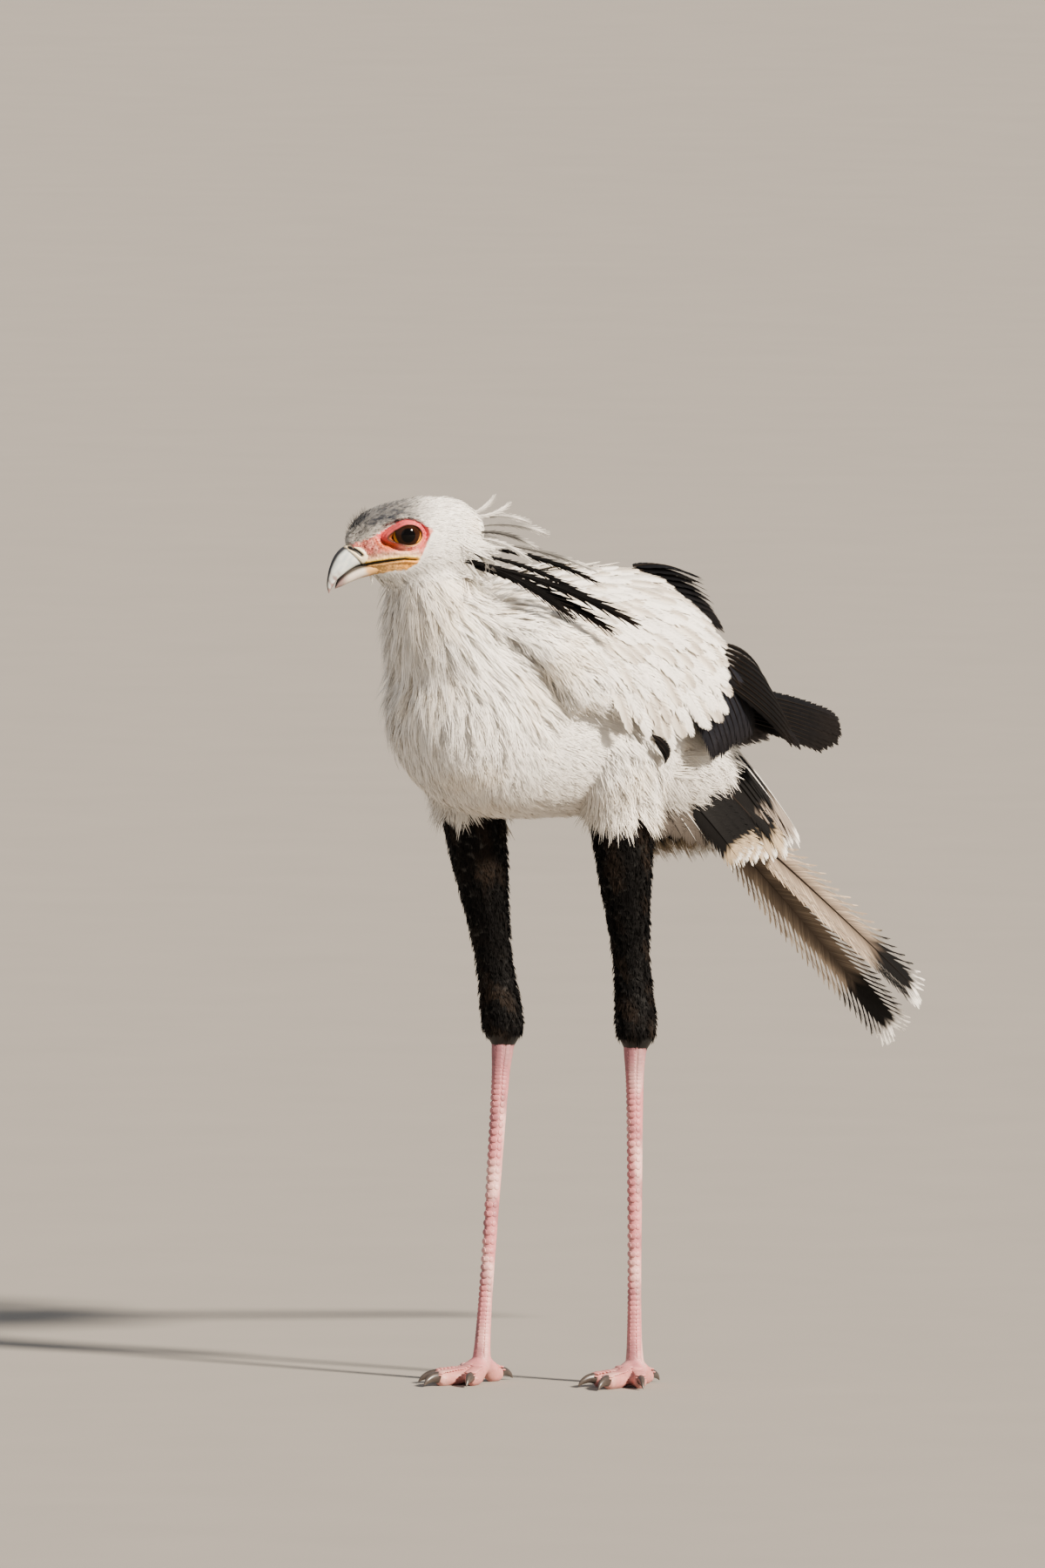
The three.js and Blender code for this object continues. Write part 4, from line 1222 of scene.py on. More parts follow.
    @staticmethod
    def patches(roots: Roots, lateral: Array, t: Array) -> Array:
        """The bake map: a small patch for each tuft at its root's place on the unwrapped skin."""
        patch = 0.003
        count, strands = lateral.shape
        start = 0.004 + roots.unwrap * 0.988
        u = (lateral[:, :, None, None] + np.array((-0.2, 0.2))) * 0.5 * patch
        u = np.broadcast_to(u, (count, strands, len(t), 2))
        v = np.broadcast_to((t[None, None, :, None] - 0.5) * patch, u.shape)
        return np.stack([u, v], axis=-1) + start[:, None, None, None, :]


@dataclass(frozen=True)
class Vane:
    """One kind of feather with a shaft and closed vanes. Sizes are in metres.

    Attributes:
        barbs: How many barbs are drawn down each side.
        outer: The half width of the side towards its left, as shares along it.
        inner: The half width of the other side.
        angle: The barbs' angle from the shaft at the root and the tip, in degrees.
        camber: How far the edges bend down, per width.
        ragged: How much the barbs differ in length.
        parted: How far groups of barbs part, in radians.
        cover: How far each barb covers the next: below 1 leaves gaps.
        shaft: The shaft's radius at the root.
    """

    barbs: int
    outer: tuple[float, ...] = (0.15, 0.8, 1.0, 1.0, 0.9, 0.62, 0.2)
    inner: tuple[float, ...] = (0.15, 0.8, 1.0, 1.0, 0.9, 0.62, 0.2)
    angle: tuple[float, float] = (52.0, 22.0)
    camber: float = 0.12
    ragged: float = 0.08
    parted: float = 0.05
    cover: float = 1.5
    shaft: float = 0.0007

    def grow(
        self, lines: Array, faces: Array, wide: Array, colour: Callable, unwrap: Array, seed: int,
        patch: float = 0.003,
    ) -> MeshData:
        """Grows one feather along each line.

        Args:
            lines: The shafts' points.
            faces: The directions that the vanes face, at each point.
            wide: Each feather's half width.
            colour: Gives the linear colours for feather numbers, shares along, shares across from -1 to 1
                and random draws, which are -1 on the shafts.
            unwrap: Each root's place on the bake map.
            seed: Of the random draw.
            patch: How large a feather is on the bake map.

        Returns:
            The feathers' mesh data.
        """
        rng = np.random.default_rng(seed)
        count = len(lines)
        t = np.linspace(0.02, 0.985, self.barbs)
        t = np.clip(t + rng.normal(0, 0.1 / self.barbs, (count, 2, self.barbs)), 0, 0.995)
        base, along, face = self.read(lines, faces, t)
        across = unit(np.cross(face, along))
        sign = np.array((1.0, -1.0))[None, :, None]
        knots = np.linspace(0, 1, len(self.outer))
        halves = (self.outer, self.inner)
        shape = np.stack([np.interp(t[:, i], knots, half) for i, half in enumerate(halves)], axis=1)
        width = shape * wide[:, None, None]
        order = np.arange(self.barbs)[None, None, :]
        group = rng.uniform(5, 11, (count, 2, 1))
        saw = np.mod(order / group + rng.random((count, 2, 1)), 1.0) - 0.5
        angle = np.radians(mix(self.angle[0], self.angle[1], t**1.6))
        length = np.linalg.norm(np.diff(lines, axis=1), axis=2).sum(axis=1)
        reach = width / np.sin(np.maximum(angle, 0.15))
        reach = np.minimum(reach, (1.03 - t) * length[:, None, None])
        reach = reach * (1 - self.ragged * rng.random(t.shape) ** 2)
        rows = np.array((0.0, 0.4, 0.75, 1.0))
        size = len(rows)
        bend = angle[..., None] * (1.18 - 0.4 * rows) + self.parted * 2 * saw[..., None] * rows**2
        step = reach[..., None] * rows
        forward = np.cos(bend) * step
        sideways = np.sin(bend) * step * sign[..., None]
        spot = base[..., None, :] + along[..., None, :] * forward[..., None]
        spot = spot + across[..., None, :] * sideways[..., None]
        drop = self.camber * sideways**2 / np.maximum(wide[:, None, None, None], 1e-6)
        spot = spot - face[..., None, :] * drop[..., None]
        half = length / self.barbs / 2 * self.cover
        taper = np.array((1.0, 1.0, 0.9, 0.45))
        half = half[:, None, None, None] * taper * np.ones_like(step)
        tilt = half * 0.1
        edge = along[..., None, :] * half[..., None] + face[..., None, :] * tilt[..., None]
        points = np.stack([spot - edge, spot + edge], axis=-2)
        barbs = count * 2 * self.barbs
        quads = grid_quads(size, 2)[None] + (np.arange(barbs) * 2 * size)[:, None, None]
        quads = quads.reshape(count, 2, self.barbs, size - 1, 4)
        quads[:, 1] = quads[:, 1, ..., ::-1]
        who = np.broadcast_to(np.arange(count)[:, None, None, None, None], points.shape[:-1])
        over = (sideways / np.maximum(wide[:, None, None, None], 1e-9))[..., None] * np.ones(2)
        at = np.clip(t[..., None] + forward / length[:, None, None, None], 0, 1)[..., None] * np.ones(2)
        tone = np.broadcast_to(rng.random((count, 2, self.barbs, 1, 1)), over.shape)
        colours = colour(who, at, over, tone)
        side = np.stack([-half, half], axis=-1)
        vane = np.stack([side, np.broadcast_to(step[..., None], side.shape)], axis=-1)
        start = 0.01 + unwrap * 0.98
        bake = start[:, None, None, None, None, :] + np.stack([over * 0.4, at - 0.5], axis=-1) * patch
        blades = MeshData.shaped(points, quads, colours, vane, bake)
        return MeshData.joined([blades, self.shafts(lines, faces, colour, start, patch)])

    @staticmethod
    def read(lines: Array, faces: Array, t: Array) -> tuple[Array, Array, Array]:
        """The places, directions and facings at shares t along the lines."""
        last = lines.shape[1] - 1
        k = np.clip(np.floor(t * last).astype(int), 0, last - 1)
        share = (t * last - k)[..., None]
        who = np.arange(len(lines)).reshape((-1,) + (1,) * (t.ndim - 1))
        spot = mix(lines[who, k], lines[who, k + 1], share)
        tangents = np.gradient(lines, axis=1)
        along = unit(mix(tangents[who, k], tangents[who, k + 1], share))
        return spot, along, unit(mix(faces[who, k], faces[who, k + 1], share))

    def shafts(self, lines: Array, faces: Array, colour: Callable, start: Array, patch: float) -> MeshData:
        """The tapered shafts, a little proud of the vanes."""
        count, size = lines.shape[:2]
        t = np.linspace(0, 1, size)
        radius = self.shaft * (1.1 - t)
        along = unit(np.gradient(lines, axis=1))
        across = unit(np.cross(faces, along))
        turns = np.arange(4) / 4 * math.tau
        ring = across[:, :, None] * np.cos(turns)[:, None] + faces[:, :, None] * np.sin(turns)[:, None]
        points = lines[:, :, None] + ring * radius[:, None, None] + faces[:, :, None] * self.shaft * 0.5
        quads = grid_quads(size, 4, around=True)[None] + (np.arange(count) * 4 * size)[:, None, None]
        who = np.broadcast_to(np.arange(count)[:, None, None], points.shape[:-1])
        at = np.broadcast_to(t[None, :, None], points.shape[:-1])
        colours = colour(who, at, np.zeros(at.shape), np.full(at.shape, -1.0))
        bake = start[:, None, None, :] + np.stack([np.zeros(at.shape), at - 0.5], axis=-1) * patch
        vane = np.stack([np.broadcast_to(turns * self.shaft, at.shape), at * 0.1], axis=-1)
        return MeshData.shaped(points, quads, colours, vane, bake)


WHITE = linear("#f3efe8")
CREAM = linear("#efe4d2")
SHADE = linear("#b9b1a6")
SLATE = linear("#2c2e37")
PALE_GREY = linear("#d5d2cd")
BUFF = linear("#9c8f80")
BLACK = linear("#100e0c")
SOOT = linear("#070606")
BROWN = linear("#2c231c")
PINK = linear("#d4766c")
ROSE = linear("#dd9484")
RED = linear("#cf4450")
IRIS_DARK = linear("#2a1509")
DEEP_RED = linear("#8f3030")
ORANGE = linear("#bd5a1c")
PALE_SKIN = linear("#ecc4a0")
YELLOW = linear("#ecc460")
GAPE = linear("#e29a3c")
OCHRE = linear("#cf9c5a")
CROWN_GREY = linear("#96928c")
CROWN_DARK = linear("#2b2d34")
LEG_PINK = linear("#c0797c")
HORN_WHITE = linear("#dde2dc")
HORN_BLUE = linear("#bcc7c8")
HORN_STAIN = linear("#8d7470")
HORN_DARK = linear("#2c2b2d")
CERE = linear("#ecdcb8")


class Markings:
    """The colours of the bird, shared by its skin and its coat."""

    @staticmethod
    def face(forward: Array, up: Array, side: Array) -> tuple[Array, Array]:
        """The bare skin of the face.

        Args:
            forward: How far ahead of the eye.
            up: How far above it.
            side: How far out from the head's middle.

        Returns:
            Its colours, and how bare each place is, from 0 to 1.
        """
        spots = np.stack([forward, up, side * 0.3], axis=-1)
        wander = 0.9 * ripple(spots, 5.0, 31)
        bare = ease(-1.0, 1.0, np.interp(forward, *BARE_TOP.T) - up + wander)
        bare = bare * ease(-1.0, 1.0, up - np.interp(forward, *BARE_BOTTOM.T) + wander)
        bare = bare * ease(-13.5, -11, forward) * ease(3, 6, side)
        line = up - np.interp(forward, *MOUTH.T)
        colour = mix(PINK, ROSE, ease(-0.4, 0.8, ripple(spots, 7.0, 32))[..., None])
        lores = ease(16, 7, np.hypot(forward - 30, (up - 1) * 1.1))
        colour = mix(colour, ORANGE, lores[..., None] * 0.95)
        lid = ease(19, 14.5, eye_distance(forward, up)) * ease(-8, 4, up)
        colour = mix(colour, RED, lid[..., None] * 0.8)
        colour = mix(colour, PALE_SKIN, (ease(11, 5, line) * ease(-6, 6, forward) * 0.8)[..., None])
        colour = mix(colour, YELLOW, (ease(5.5, 2.2, line) * ease(-3, 3, forward))[..., None])
        below = ease(0.6, -1.2, line)[..., None]
        colour = mix(colour, mix(GAPE, OCHRE, ease(6, 26, forward)[..., None]), below)
        colour = mix(colour, PALE_SKIN, below * ease(46, 58, forward)[..., None] * 0.6)
        # A near-black line along the mouth: painted shade in the crease of the gape.
        wide = mix(0.5, 1.5, ease(2, 30, forward))
        slit = ease(wide + 0.7, wide - 0.4, np.abs(line)) * ease(1, 4, forward)
        colour = mix(colour, SOOT, (slit * 0.95)[..., None])
        speckle = ease(0.5, 1.0, ripple(spots, 1.9, 33)) * ease(-14, 2, up) * 0.35
        return mix(colour, DEEP_RED, speckle[..., None]), bare

    def skin(self, bird: Array, region: Array) -> Array:
        """The colour of the skin at places in the bird's frame."""
        colour = self.coat(bird, region)[0]
        forward, out, up = head_frame(bird)
        face, bare = self.face(forward, up, np.abs(out))
        colour = mix(colour, face, (bare * (bird[:, 2] > 770))[:, None])
        leg = (region == Region.BARE.value)[:, None]
        return np.where(leg, self.leg(bird), colour)

    @staticmethod
    def leg(bird: Array) -> Array:
        """The colour of the tarsi and toes."""
        # Paler streaks down the tarsus: partly the skin's own mottling and partly painted highlight.
        pale = ease(-0.2, 0.9, ripple(bird * np.array((1, 1, 0.35)), 26.0, 8))[:, None]
        colour = mix(LEG_PINK, linear("#e3b5ae"), pale * 0.8)
        # Plum purple near the heel and in patches: partly the skin's own colour and partly painted shade,
        # most under the feathered shank.
        plum_and_shade = ease(HEEL - 60, HEEL - 5, bird[:, 2]) * 0.7
        plum_and_shade = np.maximum(plum_and_shade, 0.5 * ease(0.1, 0.9, ripple(bird * np.array((1, 1, 0.4)), 17.0, 12)))
        colour = mix(colour, linear("#7d5059"), plum_and_shade[:, None])
        return mix(colour, linear("#b77f72"), (ease(24, 8, bird[:, 2]))[:, None] * 0.6)

    @staticmethod
    def coat(bird: Array, region: Array) -> tuple[Array, Array]:
        """The colours of the feathers that grow at places.

        Args:
            bird: The places, in the bird's frame.
            region: The region of each.

        Returns:
            The colours at the roots and at the tips.
        """
        patchy = ripple(bird, 70.0, 1)
        warm = ease(0.1, 0.9, patchy)[:, None] * 0.55
        tip = mix(WHITE, CREAM, warm)
        under = ease(610, 560, bird[:, 2])[:, None]
        tip = mix(tip, mix(CREAM, SHADE, 0.25), under * 0.4)
        forward, _, up = head_frame(bird)
        streak = ripple(bird * np.array((1.0, 1.0, 1.4)), 7.0, 2)
        grey = ease(-14, 10, forward + 3 * streak) * ease(-4, 6, up - np.interp(forward, *BARE_TOP.T) + 2)
        dark = ease(-8, 28, forward + 5 * streak) * ease(12, 22, up + 0.25 * forward + 3 * streak - 6)
        head = mix(tip, CROWN_GREY, (grey * 0.85)[:, None])
        head = mix(head, CROWN_DARK, (dark * mix(0.75, 1.0, ease(-0.5, 0.5, streak)))[:, None])
        tip = np.where((region == Region.HEAD.value)[:, None], head, tip)
        # Black shank feathers with brown patches: partly the feathers' own brown tinge and partly a painted
        # sheen.
        dark = mix(SOOT, BROWN, ease(-0.1, 1.0, ripple(bird, 30.0, 5))[:, None] * 0.5)
        tip = np.where((region == Region.SHANK.value)[:, None], dark, tip)
        wing = (region == Region.WING.value) * ease(125, 140, bird[:, 1]) * ease(640, 652, bird[:, 2])
        tip = mix(tip, SOOT, wing[:, None])
        shade = np.where(region == Region.SHANK.value, 0.6, 0.9)[:, None]
        return tip * shade, tip


MARKINGS = Markings()


@dataclass(frozen=True)
class Field:
    """A stretch of loose plumage.

    Attributes:
        name: The piece's name.
        regions: Where it grows.
        spacing: How far apart its feathers stand, in metres.
        tuft: What they are like.
        seed: Of its random draws.
        where: Gives the share of the feathers that grow at places.
        scale: Gives the feathers' size at places.
        slot: The name of a finish of the part; it is not used.
        finish: Its surface.
    """

    name: str
    regions: tuple[Region, ...]
    spacing: float
    tuft: Tuft
    seed: int
    where: Callable[[Array], Array] | None = None
    scale: Callable[[Array], Array] | None = None
    slot: str = "white_feather"
    finish: Finish = WHITE_PLUMAGE

    def build(self, skin: Skin) -> None:
        """Grows the field over the skin.

        Args:
            skin: The bird's skin.
        """
        roots = skin.scatter(self.regions, self.spacing, self.seed)
        if self.where is not None:
            roots = roots.keep(self.where(roots.bird) > roots.pick)
        bird = roots.bird
        region = np.full(len(bird), self.regions[0].value)
        root, tip = MARKINGS.coat(bird, region)
        scale = None if self.scale is None else self.scale(bird)
        tufts = self.tuft.grow(skin, roots, root, tip, self.seed, scale)
        settle(tufts.build(self.name, self.finish), self.slot)


def off_face(bird: Array) -> Array:
    """1 where the head is feathered and 0 on its bare skin and under the bill."""
    forward, out, up = head_frame(bird)
    _, bare = MARKINGS.face(forward, up, np.abs(out))
    bill = ease(40, 46, forward) * ease(0, -6, up)
    return np.clip(1 - 1.3 * bare - bill, 0, 1)


def head_scale(bird: Array) -> Array:
    """How long the head's feathers are: short by the bill and the eye, longest at the nape and throat."""
    forward, _, up = head_frame(bird)
    size = mix(1.9, 0.8, ease(-50, 25, forward)) * mix(1.0, 1.5, ease(-14, -34, up))
    return size * mix(0.75, 1.0, ease(15, 24, eye_distance(forward, up)))


def chin(bird: Array) -> Array:
    """1 under the lower half of the bill, and 0 elsewhere."""
    forward, _, up = head_frame(bird)
    under = ease(-31, -35, up) * ease(62, 52, forward)
    return np.maximum(off_face(bird), under) * ease(2, 14, forward) * ease(-22, -30, up)


def breast(bird: Array) -> Array:
    """1 on the breast, and 0 behind it."""
    return ease(-20, -40, bird[:, 1])


def belly(bird: Array) -> Array:
    """1 behind the breast and below the back, and 0 elsewhere."""
    return (1 - breast(bird)) * ease(720, 700, bird[:, 2])


def flank(bird: Array) -> Array:
    """1 on the wing's skin below the edge of its coverts, and 0 elsewhere."""
    edge = np.interp(bird[:, 1], (-160, -127, -32, 44, 100), (770, 745, 705, 655, 650))
    return np.maximum(ease(0, -8, bird[:, 2] - edge), ease(112, 124, bird[:, 1]))


def mantle(bird: Array) -> Array:
    """1 round the foot of the neck and over the shoulders, and 0 elsewhere."""
    away = np.linalg.norm((bird - np.array((0, -150, 735))) * np.array((0.85, 1.0, 1.0)), axis=1)
    return ease(112, 92, away) * ease(640, 670, bird[:, 2])


def nape(bird: Array) -> Array:
    """1 on the nape, and 0 elsewhere."""
    forward, _, up = head_frame(bird)
    return ease(-26, -38, forward) * ease(8, -4, up) * ease(-75, -55, up)


def vent(bird: Array) -> Array:
    """1 on the rear of the flanks and under the tail, and 0 elsewhere."""
    return ease(95, 130, bird[:, 1]) * ease(245, 215, bird[:, 1]) * ease(652, 640, bird[:, 2])


def vent_scale(bird: Array) -> Array:
    """How long the feathers of the vent are: shorter underneath."""
    return mix(0.75, 1.0, ease(520, 545, bird[:, 2]))


def rump(bird: Array) -> Array:
    """1 on top of the rump and along the middle of the back, and 0 elsewhere."""
    middle = ease(34, 26, np.abs(bird[:, 0])) * ease(-70, -50, bird[:, 1])
    rear = ease(60, 95, bird[:, 1]) * ease(58, 48, np.abs(bird[:, 0]))
    low = np.interp(bird[:, 1], (150, 260), (640, 590))
    return np.maximum(rear, middle) * ease(0, 12, bird[:, 2] - low) * ease(290, 275, bird[:, 1])


def shank_only(bird: Array) -> Array:
    """1 above the heel."""
    return (bird[:, 2] > HEEL + 11).astype(float)


FIELDS = (
    Field(
        "plumage_breast", (Region.TORSO,), 0.0044,
        Tuft(0.028, 0.010, 9, 3, 0.0035, 0.85, 0.0010, 0.18, 0.3, soft=0.92),
        101, breast,
    ),
    Field(
        "plumage_belly", (Region.TORSO,), 0.0046,
        Tuft(0.030, 0.011, 8, 3, 0.0045, 0.85, 0.0012, 0.18, 0.3, soft=0.92),
        102, belly,
    ),
    Field(
        "plumage_flanks", (Region.WING,), 0.0046,
        Tuft(0.032, 0.012, 8, 3, 0.007, 0.8, 0.0012, 0.25, 0.3, cling=0.8, soft=0.88),
        110, flank,
    ),
    Field(
        "plumage_thighs", (Region.THIGH,), 0.0040,
        Tuft(0.034, 0.012, 9, 3, 0.011, 0.8, 0.0011, 0.28, 0.3, cling=0.65, soft=0.9),
        103,
    ),
    Field(
        "plumage_vent", (Region.TORSO, Region.TAIL), 0.0046,
        Tuft(0.046, 0.014, 12, 4, 0.015, 0.8, 0.0011, 0.25, 0.3, cling=0.5, soft=0.9),
        104, vent, vent_scale,
    ),
    Field(
        "plumage_rump", (Region.TORSO, Region.WING, Region.TAIL), 0.0062,
        Tuft(0.034, 0.014, 8, 3, 0.003, 0.8, 0.0013, 0.2, 0.3, cling=0.9, soft=0.85),
        112, rump,
    ),
    Field(
        "plumage_neck_under", (Region.NECK,), 0.0042,
        Tuft(0.028, 0.009, 9, 3, 0.005, 0.7, 0.0010, 0.2, 0.3, soft=0.9),
        105,
    ),
    Field(
        "hackles", (Region.NECK,), 0.0062,
        Tuft(0.060, 0.011, 14, 5, 0.010, 0.35, 0.0008, 0.16, 0.3, cling=0.45, soft=0.9, ragged=0.35),
        106,
    ),
    Field(
        "mantle_hackles", (Region.TORSO, Region.WING), 0.0068,
        Tuft(0.062, 0.011, 12, 5, 0.007, 0.3, 0.0009, 0.16, 0.3, cling=0.7, soft=0.9, ragged=0.35),
        111, mantle,
    ),
    Field(
        "nape_ruff", (Region.HEAD, Region.NECK), 0.0042,
        Tuft(0.056, 0.010, 12, 5, 0.015, 0.35, 0.0008, 0.2, 0.35, cling=0.2, soft=0.85, ragged=0.4),
        113, nape,
    ),
    Field(
        "plumage_head", (Region.HEAD,), 0.0019,
        Tuft(0.0105, 0.0036, 5, 3, 0.0017, 0.6, 0.0007, 0.1, 0.3, sink=0.0008, soft=0.8),
        107, off_face, head_scale, "head_feather",
    ),
    Field(
        "chin_locks", (Region.HEAD,), 0.0024,
        Tuft(0.021, 0.006, 8, 4, 0.006, 0.25, 0.0007, 0.22, 0.35, cling=0.0, soft=0.75),
        109, chin, slot="head_feather",
    ),
    Field(
        "plumage_shanks", (Region.SHANK,), 0.0034,
        Tuft(0.012, 0.006, 6, 3, 0.0024, 0.7, 0.0011, 0.16, 0.35, sink=0.001, soft=0.5),
        108, shank_only, slot="black_feather", finish=BLACK_PLUMAGE,
    ),
)


class CovertColour:
    """White coverts with grey centres and warm edges."""

    def __init__(self, count: int, seed: int) -> None:
        """Draws how grey each feather is."""
        rng = np.random.default_rng(seed)
        self.tone = rng.random(count)

    def __call__(self, who: Array, at: Array, over: Array, tone: Array) -> Array:
        """The linear colours at shares along and across the feathers."""
        tip = mix(WHITE, CREAM, (self.tone[who] > 0.6)[..., None] * 0.5)
        grey = mix(PALE_GREY, SHADE, self.tone[who][..., None] * 0.5)
        colour = mix(grey, tip, ease(0.35, 0.75, at + 0.25 * np.abs(over))[..., None])
        streak = ease(0.5, 0.1, np.abs(over)) * ease(0.1, 0.5, at) * (self.tone[who] > 0.55)
        colour = mix(colour, BUFF, streak[..., None] * 0.7)
        colour = colour * (0.95 + 0.08 * np.clip(tone, 0, 1))[..., None]
        shaft = (tone < 0)[..., None]
        return np.where(shaft, mix(SHADE, CREAM, 0.5), np.clip(colour, 0, 1))


class FlightColour:
    """Slate black flight feathers with browner, worn tips."""

    def __init__(self, slate: float) -> None:
        """Keeps how far towards slate they are."""
        self.slate = slate

    def __call__(self, who: Array, at: Array, over: Array, tone: Array) -> Array:
        """The linear colours at shares along and across the feathers."""
        base = mix(SOOT, SLATE, self.slate)
        worn = ease(0.7, 1.0, at + 0.15 * np.abs(over))[..., None]
        worn = worn * 0.15 + 0.12 * ease(0.85, 0.97, np.abs(over))[..., None]
        colour = mix(base, BROWN, worn) * (0.8 + 0.35 * np.clip(tone, 0, 1))[..., None]
        return np.where((tone < 0)[..., None], mix(BLACK, BROWN, 0.4), colour)


@dataclass(frozen=True)
class Coverts:
    """The white coverts and scapulars of a folded wing, in rows like tiles.

    Attributes:
        reaches: Distances from the fan's point, for first and last.
        first: The turn of a row's first feather at each, in degrees down from straight back.
        last: The turn of its last feather.
        far_ridge: The turns from which the right wing's feathers reach further back, in full and not at all.
        far_reach: How much further they reach.
        edge_fans: Turns, for edge.
        edge: How far from the fan's point the coverts end at each.
    """

    reaches: tuple[float, ...] = (36.0, 84.0, 138.0, 190.0, 242.0, 286.0)
    first: tuple[float, ...] = (14.0, 12.0, 8.0, 6.5, 6.0, 6.0)
    last: tuple[float, ...] = (52.0, 56.0, 55.0, 51.0, 45.0, 31.0)
    far_ridge: tuple[float, float] = (26.0, 38.0)
    far_reach: float = 34.0
    edge_fans: tuple[float, ...] = (6.0, 14.0, 23.0, 28.0, 31.0, 36.0, 39.0, 42.5, 47.5, 56.0)
    edge: tuple[float, ...] = (324.0, 344.0, 360.0, 371.0, 378.0, 360.0, 357.0, 346.0, 306.0, 262.0)

    def build(self, wing: Wing) -> None:
        """Lays the coverts of one wing.

        Args:
            wing: The wing.
        """
        rng = np.random.default_rng(11 + wing.side)
        batches, reach, row = [], self.reaches[0], 0
        while reach < self.reaches[-1]:
            grown = float(ease(60, 230, reach))
            length = mix(42.0, 90.0, grown)
            wide = mix(8.0, 12.5, grown)
            first = np.interp(reach, self.reaches, self.first)
            last = np.interp(reach, self.reaches, self.last)
            count = int(math.radians(last - first) * reach / (wide * 0.95)) + 2
            stagger = (row % 2) * 0.5 * (last - first) / count
            fan = np.linspace(first, last, count) + rng.normal(0, 0.35, count) + stagger
            roots = np.full(count, reach) + rng.normal(0, 2.5, count)
            y, angle = wing.fan(roots, fan)
            lengths = length * rng.uniform(0.88, 1.1, count)
            left = np.interp(fan, self.edge_fans, self.edge) + rng.uniform(-4, 3, count) - roots
            left = left + self.far_reach * ease(self.far_ridge[1], self.far_ridge[0], fan) * (wing.side < 0)
            lengths = np.maximum(np.minimum(lengths, left), 8.0)
            lines, faces = wing.spines(
                y, angle, fan + rng.normal(0, 2.0, count), lengths,
                np.full(count, -7.5), mix(6.5, 5.6, grown) + rng.normal(0, 0.4, count), 7,
            )
            barbs = int(mix(13, 20, grown))
            vane = Vane(barbs, camber=0.25, ragged=0.16, parted=0.07, cover=1.45, shaft=0.0004)
            unwrap = np.stack([np.clip(fan / 90, 0, 1), np.clip(roots / 320, 0, 1)], axis=-1)
            colour = CovertColour(count, 200 + row)
            batches.append(vane.grow(lines, faces, np.full(count, wide * MM), colour, unwrap, 300 + row))
            reach += length * 0.19
            row += 1
        piece = MeshData.joined(batches).build(f"coverts_{wing.name}", GREY_PLUMAGE)
        settle(piece, "grey_feather", f"wing_coverts_{wing.name}")


POINTED = (0.2, 0.75, 1.0, 1.0, 0.95, 0.72, 0.3)
FULL = (0.7, 0.95, 1.0, 1.0, 1.0, 0.85, 0.4)
BLUNT = (0.3, 0.85, 1.0, 1.0, 1.0, 0.98, 0.8)


@dataclass(frozen=True)
class Row:
    """One row of long feathers. Each pair is for its first and its last one, in the bird's frame.

    Attributes:
        count: How many there are.
        roots: Where the roots are.
        tips: Where the tips are.
        faces: Which way the vanes face.
        wide: The half width.
        shape: How the half width changes along them.
        arc: How much longer the middle ones are, as a share.
        bow: How far they arch.
        lean: The width of the upper side, as a share of the other one's.
        shaft: The shaft's radius, in metres.
    """

    count: int
    roots: tuple[Place, Place]
    tips: tuple[Place, Place]
    faces: tuple[Place, Place]
    wide: float
    shape: tuple[float, ...] = POINTED
    arc: float = 0.0
    bow: float = 6.0
    lean: float = 1.0
    shaft: float = 0.0009

    def grow(self, side: int, colour: Callable, barbs: int, seed: int, order: float) -> MeshData:
        """Grows the row's feathers.

        Args:
            side: 1 for the left side and -1 for the right one.
            colour: Gives the feathers' colours.
            barbs: How many barbs are drawn down each side.
            seed: Of the random draw.
            order: The row's place on the bake map, from 0 to 1.

        Returns:
            The mesh data.
        """
        rng = np.random.default_rng(seed)
        t = np.linspace(0, 1, self.count)[:, None]
        mirror = np.array((side, 1, 1))
        root, tip, face = (
            mix(np.array(first, float), np.array(last, float), t) * mirror
            for first, last in (self.roots, self.tips, self.faces)
        )
        face = unit(face)
        reach = 1 + self.arc * np.sin(math.pi * t) + rng.normal(0, 0.012, t.shape)
        tip = root + (tip - root) * reach
        u = np.linspace(0, 1, 13)[None, :, None]
        level = self.bow * 4 * u * (1 - u) + 0.5 * np.arange(self.count)[:, None, None]
        lines = mix(root[:, None], tip[:, None], u) + face[:, None] * level
        faces = np.broadcast_to(face[:, None], lines.shape)
        upper = tuple(self.lean * share for share in self.shape)
        sides = (upper, self.shape) if side > 0 else (self.shape, upper)
        vane = Vane(barbs, *sides, camber=0.12, ragged=0.1, parted=0.05, shaft=self.shaft)
        wide = np.full(self.count, self.wide * MM)
        return vane.grow(place(lines), faces, wide, colour, spaced(self.count, order), seed, 0.05)


